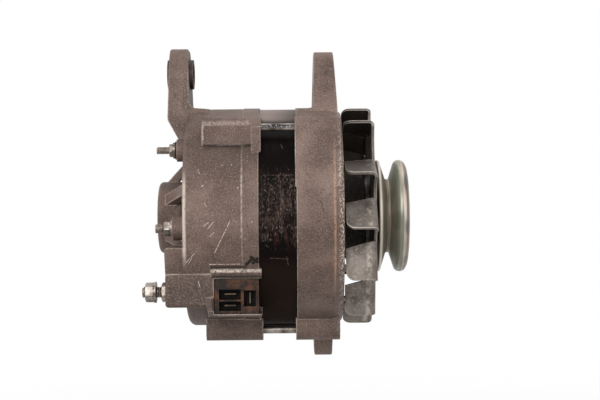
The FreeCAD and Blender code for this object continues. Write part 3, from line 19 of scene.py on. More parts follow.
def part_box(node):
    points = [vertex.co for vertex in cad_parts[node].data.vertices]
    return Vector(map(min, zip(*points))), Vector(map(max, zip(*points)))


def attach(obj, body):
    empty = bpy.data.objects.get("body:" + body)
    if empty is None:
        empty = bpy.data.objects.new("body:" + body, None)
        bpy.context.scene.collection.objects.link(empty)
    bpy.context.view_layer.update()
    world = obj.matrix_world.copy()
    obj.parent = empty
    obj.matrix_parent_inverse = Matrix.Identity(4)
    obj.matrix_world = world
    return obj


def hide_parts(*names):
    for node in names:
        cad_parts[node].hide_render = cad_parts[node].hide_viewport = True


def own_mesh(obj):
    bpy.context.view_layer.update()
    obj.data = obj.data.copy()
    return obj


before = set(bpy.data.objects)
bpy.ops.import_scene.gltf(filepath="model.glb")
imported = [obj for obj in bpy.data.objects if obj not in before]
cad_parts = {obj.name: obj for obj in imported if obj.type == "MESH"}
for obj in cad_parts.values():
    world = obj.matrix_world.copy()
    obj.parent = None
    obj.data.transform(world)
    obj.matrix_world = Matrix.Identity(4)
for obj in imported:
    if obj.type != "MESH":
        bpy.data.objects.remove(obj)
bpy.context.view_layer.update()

log = logging.getLogger("alternator")

MM = 0.001
SHAFT_Z = -0.0855
FACES_ROUND = 48
CASING = "casing"
WHITE = (1.0, 1.0, 1.0, 1.0)

Point = tuple[float, float, float]


class Slot(Enum):
    """The record's material slots."""

    CAST = "cast_aluminium"
    CORE = "core_lacquer"
    ZINC = "zinc_steel"
    FAN = "fan_steel"
    PULLEY = "pulley_steel"
    DARK_STEEL = "dark_steel"
    BEARING = "bearing_steel"
    POLE = "pole_iron"
    WINDING = "winding_copper"
    RING = "ring_copper"
    PHENOLIC = "brown_phenolic"
    BLACK = "black_moulding"
    CARBON = "carbon"
    HEAT_SINK = "heat_sink"
    FIBRE = "dark_insulator"
    TINNED = "tinned_brass"


def linear(red: int, green: int, blue: int) -> tuple[float, float, float, float]:
    """Turns a screen colour of 0 to 255 into the linear colour that shaders use.

    Args:
        red: Red of the screen colour.
        green: Green of the screen colour.
        blue: Blue of the screen colour.

    Returns:
        The linear colour with an alpha of 1.
    """

    def channel(value: int) -> float:
        """Linear value of one channel, by the sRGB curve."""
        share = value / 255
        return share / 12.92 if share <= 0.04045 else ((share + 0.055) / 1.055) ** 2.4

    return (channel(red), channel(green), channel(blue), 1.0)


def middle(node: str) -> tuple[float, float]:
    """Y and Z of the middle of a node's box, in metres."""
    low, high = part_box(node)
    return (low[1] + high[1]) / 2, (low[2] + high[2]) / 2


class Wire:
    """One output socket of a node, which takes part in Python maths."""

    def __init__(self, tree: "Tree", socket: bpy.types.NodeSocket) -> None:
        """Keeps the tree that new nodes go into, and the output socket."""
        self.tree = tree
        self.socket = socket

    def out(self, name: str) -> "Wire":
        """Another output of the same node, by name."""
        return Wire(self.tree, self.socket.node.outputs[name])

    def maths(self, operation: str, *others: "Wire | float") -> "Wire":
        """Result of a Math node on this wire and further operands."""
        values = dict(enumerate((self, *others)))
        return self.tree.node("ShaderNodeMath", {"operation": operation}, values)

    def __add__(self, other: "Wire | float") -> "Wire":
        """Sum."""
        return self.maths("ADD", other)

    __radd__ = __add__

    def __sub__(self, other: "Wire | float") -> "Wire":
        """Difference."""
        return self.maths("SUBTRACT", other)

    def __rsub__(self, other: "Wire | float") -> "Wire":
        """Difference from a number."""
        return self.tree.node("ShaderNodeMath", {"operation": "SUBTRACT"}, {0: other, 1: self})

    def __mul__(self, other: "Wire | float") -> "Wire":
        """Product."""
        return self.maths("MULTIPLY", other)

    __rmul__ = __mul__

    def __truediv__(self, other: "Wire | float") -> "Wire":
        """Quotient."""
        return self.maths("DIVIDE", other)

    def larger(self, other: "Wire | float") -> "Wire":
        """The larger of two values."""
        return self.maths("MAXIMUM", other)

    def hypot(self, other: "Wire") -> "Wire":
        """Length of the line over two lengths at right angles."""
        return (self * self + other * other).maths("POWER", 0.5)

    def clamped(self) -> "Wire":
        """The value kept between 0 and 1."""
        return self.larger(0.0).maths("MINIMUM", 1.0)

    def spread(self, first: float, last: float) -> "Wire":
        """The value as a share of the way from a first number to a last one."""
        return self * (last - first) + first

    def step(self, low: float, high: float) -> "Wire":
        """Smooth rise from 0 at low to 1 at high, or a fall where low is the larger."""
        values = {"Value": self, "From Min": low, "From Max": high, "To Min": 0.0, "To Max": 1.0}
        return self.tree.node("ShaderNodeMapRange", {"interpolation_type": "SMOOTHSTEP"}, values)


class Tree:
    """A node tree that is filled through one method."""

    def __init__(self, tree: bpy.types.NodeTree) -> None:
        """Keeps the node tree to fill."""
        self.tree = tree

    def node(
        self,
        kind: str,
        settings: dict[str, Any] | None = None,
        values: dict[str | int, Any] | None = None,
        output: str | int = 0,
    ) -> Wire:
        """Adds a node, sets it up and links it.

        Args:
            kind: The node's type.
            settings: Its properties, set first.
            values: Its inputs by name or number, each a value, a wire or a list of wires.
            output: The output to return.

        Returns:
            The asked output, or the first input's stand-in where a node has no output.
        """
        made = self.tree.nodes.new(kind)
        for key, value in (settings or {}).items():
            setattr(made, key, value)
        for key, value in (values or {}).items():
            self.feed(made.inputs[key], value)
        return Wire(self, made.outputs[output] if len(made.outputs) else made.inputs[0])

    def feed(self, socket: bpy.types.NodeSocket, value: Any) -> None:
        """Links or sets an input.

        Args:
            socket: The input.
            value: A value, a wire, or a list of wires for an input that takes several.
        """
        for part in value if isinstance(value, list) else [value]:
            if isinstance(part, Wire):
                self.tree.links.new(part.socket, socket)
            else:
                socket.default_value = part

    def shown(self) -> Wire:
        """Tells the rays that show the ground, seen straight, in a shine or through glass.

        Returns:
            The mask, 1 for such a ray.
        """
        rays = self.node("ShaderNodeLightPath")
        seen = rays.out("Is Camera Ray").larger(rays.out("Is Glossy Ray"))
        return seen.larger(rays.out("Is Transmission Ray"))


@dataclass(frozen=True)
class Mark:
    """A straight mark on the near side, seen square to the shaft; scratches, nicks, painted
    highlights and painted shadows are marks.

    Attributes:
        start: X and Z of one end, in millimetres.
        end: X and Z of the other.
        width: Half its width in millimetres.
        share: How strong it is.
    """

    start: tuple[float, float]
    end: tuple[float, float]
    width: float = 0.22
    share: float = 1.0


@dataclass(frozen=True)
class ToneOval:
    """A soft oval of another tone, seen square to the shaft.

    Attributes:
        centre: X and Z of its middle, in millimetres.
        reach: How far it spreads along X and Z.
        share: How strong it is.
    """

    centre: tuple[float, float]
    reach: tuple[float, float]
    share: float


@dataclass(frozen=True)
class Noise:
    """A noise on the object's own coordinates.

    Attributes:
        scale: Features per metre.
        detail: Octaves.
        rough: Strength of each finer octave.
        stretch: Scale of each axis before the noise.
        shift: Offset that sets it apart from another.
    """

    scale: float
    detail: float
    rough: float
    stretch: tuple[float, float, float] = (1.0, 1.0, 1.0)
    shift: float = 0.0


@dataclass(frozen=True)
class Layer:
    """A tone that is laid where all its masks are full.

    Attributes:
        colour: The tone.
        share: Its strength there.
        masks: Name of each mask, with the levels at which it starts and is full, or with
            nothing where it already runs from 0 to 1.
        marks: Straight marks that bound it, scratches and painted highlights and shadows alike.
        tone_ovals: Ovals that bound it.
        span: Stretch of X that bounds it: start, end and softness, in millimetres.
    """

    colour: tuple
    share: float
    masks: dict[str, tuple] = field(default_factory=dict)
    marks: tuple[Mark, ...] = ()
    tone_ovals: tuple[ToneOval, ...] = ()
    span: tuple[float, float, float] | None = None


class Shader(Tree):
    """A material's node tree with a principled shader.

    Attributes:
        BEVEL_SAMPLES: Rays that find a rounded normal.
        EDGE_TURN: Shares of turn at which a sharp edge starts and is full.
        NEAR_SIDE: Y at which marks start and are full, in metres.
        MARK_CORE: Share of a mark's width in which it is full.
        OVAL_FALL: Squared shares of an oval's reach at which it starts and is full.
        SPECK_CORE: Share of a speck's radius in which it is full.
    """

    BEVEL_SAMPLES = 6
    EDGE_TURN = (0.03, 0.2)
    NEAR_SIDE = (-0.012, -0.03)
    MARK_CORE = 0.3
    OVAL_FALL = (1.0, 0.05)
    SPECK_CORE = 0.6

    def __init__(self, name: str) -> None:
        """Makes the material and its shader.

        Args:
            name: The material's name.
        """
        self.material = bpy.data.materials.new(name)
        self.material.use_nodes = True
        super().__init__(self.material.node_tree)
        self.surface = self.tree.nodes["Principled BSDF"]
        self.place = self.node("ShaderNodeTexCoord", output="Object")
        parts = self.node("ShaderNodeSeparateXYZ", values={0: self.place})
        self.x, self.y, self.z = (parts.out(axis) for axis in "XYZ")

    def height(self) -> Wire:
        """Height over the shaft's axis, in metres."""
        return self.z - SHAFT_Z

    def radius(self) -> Wire:
        """Distance from the shaft's axis, in metres."""
        return self.height().hypot(self.y)

    def rounded(self, radius: float) -> Wire:
        """Normal that turns softly over sharp edges, within a radius in metres."""
        return self.node("ShaderNodeBevel", {"samples": self.BEVEL_SAMPLES}, {"Radius": radius})

    def edges(self, rounded: Wire) -> Wire:
        """Finds the sharp edges, where a rounded normal leaves the true one.

        Args:
            rounded: The rounded normal.

        Returns:
            The mask, 1 on an edge.
        """
        true = self.node("ShaderNodeNewGeometry", output="True Normal")
        settings = {"operation": "DOT_PRODUCT"}
        agree = self.node("ShaderNodeVectorMath", settings, {0: rounded, 1: true}, output="Value")
        return (1.0 - agree).step(*self.EDGE_TURN)

    def strokes(self, marks: Iterable[Mark]) -> Wire:
        """Straight marks on the side that faces -Y: scratches, nicks, painted highlights and
        painted shadows.

        Args:
            marks: The marks.

        Returns:
            The mask, 1 on a mark.
        """
        mask: Wire | float = 0.0
        for mark in marks:
            run_x = (mark.end[0] - mark.start[0]) * MM
            run_z = (mark.end[1] - mark.start[1]) * MM
            x = self.x - mark.start[0] * MM
            z = self.z - mark.start[1] * MM
            share = ((x * run_x + z * run_z) / (run_x**2 + run_z**2)).clamped()
            away = (x - share * run_x).hypot(z - share * run_z)
            stroke = away.step(mark.width * MM, mark.width * MM * self.MARK_CORE)
            mask = (stroke * mark.share).larger(mask)
        return mask * self.y.step(*self.NEAR_SIDE)

    def ovals(self, tone_ovals: Iterable[ToneOval]) -> Wire:
        """Soft ovals, added up.

        Args:
            tone_ovals: The ovals.

        Returns:
            The mask.
        """
        mask: Wire | float = 0.0
        for tone_oval in tone_ovals:
            x = (self.x - tone_oval.centre[0] * MM) / (tone_oval.reach[0] * MM)
            z = (self.z - tone_oval.centre[1] * MM) / (tone_oval.reach[1] * MM)
            mask = (x * x + z * z).step(*self.OVAL_FALL) * tone_oval.share + mask
        return mask

    def within(self, start: float, end: float, soft: float) -> Wire:
        """A stretch of the shaft's direction, in millimetres, with soft ends."""
        rise = self.x.step((start - soft) * MM, (start + soft) * MM)
        return rise * self.x.step((end + soft) * MM, (end - soft) * MM)

    def noise(self, noise: Noise) -> Wire:
        """Makes a noise on the object's coordinates.

        Args:
            noise: The noise.

        Returns:
            Its value, from 0 to 1.
        """
        values = {"Vector": self.place, "Location": (noise.shift,) * 3, "Scale": noise.stretch}
        vector = self.node("ShaderNodeMapping", values=values)
        values = {"Scale": noise.scale, "Detail": noise.detail, "Roughness": noise.rough}
        return self.node("ShaderNodeTexNoise", values={"Vector": vector, **values})

    def masks(self, **noises: Noise) -> dict[str, Wire]:
        """Two coordinates and the given noises, by name, for layers to use."""
        made = {name: self.noise(noise) for name, noise in noises.items()}
        return {"x": self.x, "z": self.z, **made}

    def specks(self, scale: float, size: float) -> Wire:
        """Mask of small round spots, from the cells per metre and a spot's radius in cells."""
        cells = self.node("ShaderNodeTexVoronoi", values={"Vector": self.place, "Scale": scale})
        return cells.step(size, size * self.SPECK_CORE)

    def laid(self, colour: Any, masks: dict[str, Wire], layers: Iterable[Layer]) -> Wire:
        """Lays tones over a colour, in order.

        Args:
            colour: The colour.
            masks: The masks that the layers name.
            layers: The tones.

        Returns:
            The colour with its tones.
        """
        settings = {"data_type": "RGBA", "clamp_factor": True}
        for layer in layers:
            share: Wire | float = layer.share
            if layer.marks:
                share = self.strokes(layer.marks) * share
            if layer.tone_ovals:
                share = self.ovals(layer.tone_ovals) * share
            if layer.span:
                share = self.within(*layer.span) * share
            for name, levels in layer.masks.items():
                share = (masks[name].step(*levels) if levels else masks[name]) * share
            # Sockets 6 and 7 are the colours of a Mix node, and output 2 is its result.
            values = {0: share, 6: colour, 7: layer.colour}
            colour = self.node("ShaderNodeMix", settings, values, output=2)
        return colour

    def bumped(
        self, height: Wire, depth: float, strength: float, under: Wire | None = None
    ) -> Wire:
        """Bump from a height of 0 to 1.

        Args:
            height: The height.
            depth: Depth in metres of a height of 1.
            strength: The node's strength.
            under: A coarser bump under this one.

        Returns:
            The bumped normal.
        """
        values: dict[str | int, Any] = {"Height": height, "Distance": depth, "Strength": strength}
        if under is not None:
            values["Normal"] = under
        return self.node("ShaderNodeBump", values=values, output="Normal")

    def set(self, **sockets: Any) -> None:
        """Sets or links the shader's sockets, with spaces written as underscores."""
        for key, value in sockets.items():
            self.feed(self.surface.inputs[key.replace("_", " ")], value)


@dataclass(frozen=True)
class Finish:
    """A finish that can dress pieces.

    Attributes:
        name: The material's name.
        slot: The record's slot that it belongs to; not used.
    """

    name: str
    slot: Slot

    def paint(self, shader: Shader) -> None:
        """Sets up a new material's shader, in each kind of finish's own way."""
        raise NotImplementedError

    def material(self) -> bpy.types.Material:
        """Gives the material, which is made at the first call.

        Returns:
            The material.
        """
        known = bpy.data.materials.get(self.name)
        if known:
            return known
        shader = Shader(self.name)
        self.paint(shader)
        return shader.material

    def dress(self, piece: bpy.types.Object) -> None:
        """Puts the finish on a piece as its only material.

        Args:
            piece: The piece.
        """
        materials = piece.data.materials
        if len(materials):
            for index in range(len(materials)):
                materials[index] = self.material()
        else:
            materials.append(self.material())


# Bright scratches and nicks of the rear housing; the last is a painted highlight along the edge
# over the connector's lip.
SCRATCHES = (
    Mark((-53.5, -86.9), (-62.4, -104.6), 0.26),
    Mark((-68.0, -89.6), (-65.3, -87.5)),
    Mark((-65.7, -90.9), (-62.6, -87.4)),
    Mark((-64.7, -95.2), (-62.3, -93.0)),
    Mark((-78.2, -109.8), (-72.2, -103.4)),
    Mark((-77.0, -110.6), (-75.1, -107.5)),
    Mark((-71.5, -58.1), (-70.3, -60.8), 0.12),
    Mark((-67.7, -76.9), (-66.0, -79.1), 0.12),
    Mark((-71.7, -120.4), (-70.7, -123.9), 0.18),
    Mark((-68.7, -67.5), (-68.4, -67.3), 0.5),
    Mark((-49.3, -68.8), (-49.1, -68.4), 0.4),
    Mark((-58.0, -56.0), (-57.8, -55.7), 0.4),
    Mark((-41.6, -87.6), (-41.3, -87.4), 0.4),
    Mark((-52.9, -56.0), (-52.6, -55.8), 0.3),
    Mark((-65.4, -110.8), (-46.5, -110.8), 0.24),
)
# Painted shadow lines over and under the connector's upper lip.
CREVICE_SHADOWS = (
    Mark((-64.4, -112.5), (-45.4, -112.5), 1.1),
    Mark((-64.0, -118.0), (-37.0, -118.0), 1.0),
)
# A dried smear beside the connector.
SMEARS = (
    Mark((-44.8, -110.9), (-41.2, -107.6), 1.3),
    Mark((-42.2, -107.0), (-38.8, -109.6), 1.4),
    Mark((-41.2, -110.2), (-38.8, -107.8), 1.3),
)
# Painted highlights along crests: the lip, the tab's top and end, and the shoulder.
CREST_HIGHLIGHTS = (
    Mark((-63.8, -114.6), (-36.6, -114.6), 1.3),
    Mark((-68.6, -32.6), (-44.0, -32.2), 1.9, 0.42),
    Mark((-69.0, -31.4), (-69.0, -44.5), 0.8, 0.6),
    Mark((-47.2, -58.0), (-47.2, -96.0), 0.7, 0.6),
)
# Where the tab blends into the housing, so that its edge gets neither rubbing nor painted
# highlight.
BLENDED = (ToneOval((-74.0, -27.5), (15.0, 9.0), 1.0),)
# Painted dark reflection lines along the two through bolts that show.
BOLT_REFLECTION_LINES = (
    Mark((-40.0, -34.1), (-14.0, -34.1), 1.5),
    Mark((-40.0, -149.7), (-14.0, -149.7), 1.4),
)
# Scratches through the core's lacquer.
CORE_MARKS = (
    Mark((-25.4, -44.4), (-24.4, -46.8), 0.4),
    Mark((-33.5, -61.8), (-18.0, -61.8), 0.25),
    Mark((-32.0, -107.6), (-21.6, -108.2), 0.3),
    Mark((-22.6, -107.0), (-21.8, -111.5), 0.35),
)
# Darker patches of both housings; the three lowest paint the shade low on the housings.
CAST_PATCHES_AND_SHADE = (
    ToneOval((-64.0, -51.0), (26.0, 17.0), 0.65),
    ToneOval((-46.0, -47.0), (9.0, 16.0), 0.3),
    ToneOval((-78.0, -28.0), (12.0, 14.0), 0.35),
    ToneOval((-80.0, -14.0), (4.5, 16.0), 0.5),
    ToneOval((-86.0, -31.0), (9.0, 9.0), 0.4),
    ToneOval((-52.0, -128.0), (34.0, 18.0), 0.6),
    ToneOval((-80.0, -128.0), (20.0, 24.0), 0.75),
    ToneOval((-6.0, -52.0), (10.0, 9.0), 0.3),
    ToneOval((1.0, -4.0), (12.0, 18.0), 0.25),
    ToneOval((2.0, -140.0), (14.0, 14.0), 0.1),
)
# Darker patches and painted glints of the pulley.
PULLEY_DARK_PATCHES = (
    ToneOval((47.2, -65.3), (2.4, 6.0), 0.8),
    ToneOval((47.2, -91.6), (2.2, 5.5), 0.75),
    ToneOval((41.0, -88.0), (4.0, 7.0), 0.35),
)
PULLEY_GLINTS = (
    ToneOval((45.8, -78.0), (1.3, 11.0), 0.5),
    ToneOval((32.2, -82.0), (1.4, 16.0), 0.5),
)
# The crack line and the chips of the front housing.
GOUGES = (
    Mark((-5.6, -75.3), (-3.2, -76.7), 0.35),
    Mark((-3.2, -76.7), (-2.0, -81.9), 0.35),
    Mark((-6.5, -88.5), (-4.2, -86.8), 0.35),
    Mark((-10.1, -129.0), (0.9, -129.0), 0.2),
    Mark((-6.8, -127.1), (-5.9, -125.0), 0.4),
    Mark((-10.4, -128.0), (-9.3, -126.2), 0.4),
)

# Tones of dirt, pits, nicks and sooty dirt, which the layers below also use for painted shade,
# painted shadows and painted highlights.
GRIME_AND_SHADE = linear(66, 51, 44)
NICK_AND_HIGHLIGHT = linear(214, 199, 186)
PIT_AND_SHADOW = linear(38, 27, 21)
SOOT_AND_SHADE = linear(24, 18, 15)


@dataclass(frozen=True)
class CastFinish(Finish):
    """Sand cast aluminium, dulled to brown grey, with grain, dark patches and bright nicks, and
    with painted shade and painted highlights.

    Attributes:
        light: Tone of the plain casting.
        edge: Radius of the softened edges, in metres.
        rough: Roughness before grain and patches.
        metal: Share of metal.
        pit_depth: Depth of the coarse grain.
        grain_depth: Depth of the fine grain.
        low_shade_fade: X at which the painted shade low on the housings starts to give way, and no
            longer does.
        rim_wear_and_highlight_fade: Height over or under the shaft at which the front rim's wear
            specks start to grow and are full; their growth near the shaft's height paints the rim's
            highlight.
        layers: The tones over it, in order.
    """

    light: tuple = linear(122, 102, 93)
    edge: float = 0.0014
    rough: float = 0.44
    metal: float = 0.35
    pit_depth: float = 0.0004
    grain_depth: float = 0.00034
    low_shade_fade: tuple[float, float] = (-0.03, -0.01)
    rim_wear_and_highlight_fade: tuple[float, float] = (0.05, 0.022)
    layers: tuple[Layer, ...] = (
        Layer(linear(80, 63, 55), 1.0, {"patches": (0.3, 0.72)}),
        Layer(linear(120, 82, 61), 0.3, {"bloom": (0.56, 0.74)}),
        # Painted shade: darker towards the bottom of the housings, less on the front one.
        Layer(GRIME_AND_SHADE, 0.45, {"z": (-0.108, -0.132), "front_less": (), "deep": ()}),
        Layer(GRIME_AND_SHADE, 0.13, {"x": (-0.028, -0.034)}),
        # Darker patches, the lowest of them painted shade low on the housings.
        Layer(GRIME_AND_SHADE, 0.6, {"deep": ()}, tone_ovals=CAST_PATCHES_AND_SHADE),
        Layer(linear(158, 137, 126), 0.62, {"grain": (0.46, 0.76)}),
        Layer(GRIME_AND_SHADE, 0.6, {"grain": (0.47, 0.3)}),
        # Painted highlight: a bright line down the rear rim's rounded edge, near the shaft's
        # height.
        Layer(
            NICK_AND_HIGHLIGHT, 0.85, {"off_axis": (0.029, 0.016), "broken": (0.2, 0.5)}, span=(-79.9, -78.2, 0.7)
        ),
        # Painted highlight: an orange line along the front housing's shoulder, near the shaft's
        # height.
        Layer(
            linear(186, 146, 120),
            0.62,
            {"off_axis": (0.05, 0.022), "broken": (0.3, 0.56)},
            span=(3.7, 5.0, 0.4),
        ),
        # Rubbed edges, bright both as worn metal and as a painted highlight.
        Layer(NICK_AND_HIGHLIGHT, 0.9, {"rubbed": (), "broken": (0.22, 0.52)}),
        # Worn specks on the front rim, grown near the shaft's height into a painted highlight.
        Layer(NICK_AND_HIGHLIGHT, 1.0, {"x": (0.0053, 0.0084), "middle_more": (), "broken": (0.5, 0.62)}),
        # Painted highlights along the crests.
        Layer(NICK_AND_HIGHLIGHT, 1.0, {"crumbled": ()}, marks=CREST_HIGHLIGHTS),
        Layer(PIT_AND_SHADOW, 0.55, {"pits": (0.36, 0.24)}),
        Layer(NICK_AND_HIGHLIGHT, 0.4, {"specks": (), "grain": (0.44, 0.6)}),
        Layer(PIT_AND_SHADOW, 0.85, {"broken": (0.36, 0.5)}, marks=GOUGES),
        # Painted shadow lines over and under the connector's lip.
        Layer(PIT_AND_SHADOW, 0.9, marks=CREVICE_SHADOWS),
        Layer(SOOT_AND_SHADE, 0.96, {"smear": ()}),
        Layer(NICK_AND_HIGHLIGHT, 0.9, {"broken": (0.34, 0.52)}, marks=SCRATCHES),
        # Painted shade: the front housing's front face and nose, behind the fan, near black.
        Layer(SOOT_AND_SHADE, 0.92, {"x": (0.01, 0.0104)}),
    )

    def paint(self, shader: Shader) -> None:
        """Lays the tones, and a coarse and a fine grain.

        Args:
            shader: The shader.
        """
        masks = shader.masks(
            patches=Noise(38.0, 4.0, 0.6),
            grain=Noise(1500.0, 3.0, 0.65),
            pits=Noise(420.0, 2.0, 0.5, shift=0.3),
            bloom=Noise(75.0, 3.0, 0.6, (1.0, 1.0, 0.5), 0.8),
            broken=Noise(900.0, 2.0, 0.6, shift=0.45),
        )
        patches, grain, broken = masks["patches"], masks["grain"], masks["broken"]
        rounded = shader.rounded(self.edge)
        edges = shader.edges(rounded)
        off_axis = shader.height().maths("ABSOLUTE")
        masks["off_axis"] = off_axis
        masks["deep"] = patches + 1.0
        masks["front_less"] = shader.x.step(*self.low_shade_fade).spread(1.0, 0.6)
        masks["middle_more"] = off_axis.step(*self.rim_wear_and_highlight_fade).spread(0.32, 0.88)
        masks["crumbled"] = broken.step(0.34, 0.62).spread(0.12, 0.72)
        masks["specks"] = shader.specks(620.0, 0.15)
        masks["smear"] = shader.strokes(SMEARS)
        # Rubbed edges, which also paint the edges' highlight.
        worn = masks["bloom"].step(0.42, 0.58).spread(0.3, 1.0)
        masks["rubbed"] = edges * worn * (1.0 - shader.ovals(BLENDED))
        coarse = shader.bumped(masks["pits"], self.pit_depth, 0.5, under=rounded)
        rough = self.rough + patches * 0.14 + grain * 0.12 - edges * 0.08 + masks["smear"] * 0.35
        shader.set(
            Base_Color=shader.laid(self.light, masks, self.layers),
            Roughness=rough,
            Normal=shader.bumped(grain, self.grain_depth, 0.9, under=coarse),
            Metallic=self.metal,
        )


@dataclass(frozen=True)
class LacquerFinish(Finish):
    """Black lacquer on stacked sheets, scraped to brown grey in a band of fine upright chips.

    Attributes:
        coat: Tone of the lacquer.
        worn: Tone of the bare sheets.
        crown: Tone of their bright flecks, and of the painted reflection along the top.
        sheet: Thickness of a sheet, in metres.
        worn_height: Z of the middle of the scraped band.
        worn_reach: How far from there it goes.
        low_brown_fade: Z at which the browner tone towards the bottom starts and is full.
        top_reflection_fade: X at which the painted reflection along the top starts to dull towards
            the front, and no longer does.
        rough: Roughness of whole lacquer.
        gloss: Strength of its shine.
        chip_depth: Depth of the chips.
        sheet_depth: Depth of the gaps between the sheets.
    """

    coat: tuple = linear(11, 7, 6)
    worn: tuple = linear(112, 92, 85)
    crown: tuple = linear(156, 139, 132)
    sheet: float = 0.0005
    worn_height: float = -0.0798
    worn_reach: float = 0.0262
    low_brown_fade: tuple[float, float] = (-0.104, -0.118)
    top_reflection_fade: tuple[float, float] = (-0.036, -0.012)
    rough: float = 0.36
    gloss: float = 0.04
    chip_depth: float = 0.0002
    sheet_depth: float = 0.00005

    def paint(self, shader: Shader) -> None:
        """Lays the scraped band, the browner tone below it, the painted reflection along the top,
        and the sheets' edges.

        Args:
            shader: The shader.
        """
        masks = shader.masks(
            chips=Noise(1500.0, 3.0, 0.7, (1.0, 0.5, 0.4)),
            streaks=Noise(420.0, 4.0, 0.62, (1.3, 0.35, 0.16), 0.2),
            patch=Noise(90.0, 3.0, 0.6, (1.2, 0.5, 0.6), 0.4),
            rusty=Noise(130.0, 3.0, 0.6, (2.0, 0.6, 0.3), 0.9),
        )
        chips = masks["chips"]
        away = (shader.z - self.worn_height).maths("ABSOLUTE")
        reach = away.step(self.worn_reach, self.worn_reach * 0.66)
        chipped = reach * 0.3 + masks["patch"] * 0.25 + masks["streaks"] * 0.25 + chips * 0.45
        masks["reach"] = reach
        masks["bare"] = chipped.step(0.73, 0.9)
        masks["low_brown"] = shader.z.step(*self.low_brown_fade)
        masks["rear_more"] = shader.x.step(*self.top_reflection_fade).spread(1.0, 0.25)
        layers = (
            # Browner towards the bottom.
            Layer(linear(40, 29, 24), 0.55, {"low_brown": ()}),
            Layer(self.worn, 0.55, {"bare": ()}),
            Layer(self.crown, 0.7, {"reach": (), "chips": (0.6, 0.72)}),
            Layer(linear(92, 52, 37), 0.2, {"reach": (), "rusty": (0.56, 0.7)}),
            Layer(self.worn, 0.5, {"chips": (0.3, 0.6)}, marks=CORE_MARKS),
            Layer(self.worn, 0.03, {"patch": (0.5, 0.7)}),
            # Painted reflection: a pale band along the top of the core, fading towards the front.
            Layer(self.crown, 0.85, {"z": (-0.0325, -0.0285), "rear_more": ()}),
        )
        lines = (shader.x * (2 * math.pi / self.sheet)).maths("SINE").spread(0.5, 1.0)
        sheets = shader.bumped(lines, self.sheet_depth, 0.6)
        shader.set(
            Base_Color=shader.laid(self.coat, masks, layers),
            Roughness=self.rough + masks["bare"] * 0.3 + masks["low_brown"] * 0.4,
            Normal=shader.bumped(chips, self.chip_depth, 0.8, under=sheets),
            Specular_IOR_Level=self.gloss,
        )


@dataclass(frozen=True)
class PlatedFinish(Finish):
    """Zinc plating: bright, slightly cloudy, with a faint warm and green bloom.

    Attributes:
        bright: Tone of clean plating.
        dull: Tone of its clouds and grain.
        bloom: Tone of its bloom.
        rough: Least roughness.
        metal: Share of metal.
        cloud: Clouds per metre.
        edge: Radius of the softened edges, in metres.
        shine: Tone of the edges, rubbed plating with a painted highlight.
        shine_share: How strong it is.
        grain_depth: Depth of its grain.
    """

    bright: tuple = linear(166, 157, 149)
    dull: tuple = linear(70, 60, 53)
    bloom: tuple = linear(130, 119, 101)
    rough: float = 0.26
    metal: float = 0.85
    cloud: float = 110.0
    edge: float = 0.0004
    shine: tuple = linear(204, 194, 184)
    shine_share: float = 0.6
    grain_depth: float = 0.00003

    def paint(self, shader: Shader) -> None:
        """Lays clouds, bloom, grain, the dirt of a kind of plating, and its rubbed edges with a
        painted highlight.

        Args:
            shader: The shader.
        """
        masks = shader.masks(
            clouds=Noise(self.cloud, 4.0, 0.6),
            tint=Noise(self.cloud * 0.45, 2.0, 0.5, shift=0.5),
            fine=Noise(2400.0, 2.0, 0.6),
        )
        rounded = shader.rounded(self.edge)
        masks["edges"] = shader.edges(rounded)
        layers = (
            Layer(self.dull, 1.0, {"clouds": (0.35, 0.66)}),
            Layer(self.bloom, 0.5, {"tint": (0.5, 0.7)}),
            Layer(self.dull, 0.4, {"fine": (0.5, 0.66)}),
            *self.aged(shader, masks),
            # Rubbed edges with a painted highlight.
            Layer(self.shine, self.shine_share, {"edges": ()}),
        )
        shader.set(
            Base_Color=shader.laid(self.bright, masks, layers),
            Roughness=self.rough + masks["clouds"] * 0.2,
            Normal=shader.bumped(masks["fine"], self.grain_depth, 0.6, under=rounded),
            Metallic=self.metal,
        )

    def aged(self, shader: Shader, masks: dict[str, Wire]) -> tuple[Layer, ...]:
        """Gives no layers of dirt; a finish that has some adds their masks and gives them here."""
        return ()


@dataclass(frozen=True)
class DrawnFinish(PlatedFinish):
    """Zinc on drawn rod, with dark lines and pale spots along it that paint its reflection."""

    def aged(self, shader: Shader, masks: dict[str, Wire]) -> tuple[Layer, ...]:
        """Gives the dark lines of the painted reflection and the pale spots in them.

        Args:
            shader: The shader.
            masks: The masks.

        Returns:
            The layers.
        """
        # Painted reflection: dark streaks along the rod and a dark line on each bolt's near side,
        # with pale spots in them.
        drawn = shader.noise(Noise(330.0, 1.0, 0.4, (0.02, 1.0, 1.0), 0.63)).step(0.5, 0.6) * 0.6
        masks["lines"] = drawn.larger(shader.strokes(BOLT_REFLECTION_LINES))
        masks["spots"] = shader.specks(900.0, 0.34)
        return (
            Layer(linear(40, 37, 38), 0.9, {"lines": ()}),
            Layer(linear(196, 202, 208), 0.8, {"lines": (), "spots": (), "fine": (0.42, 0.56)}),
        )


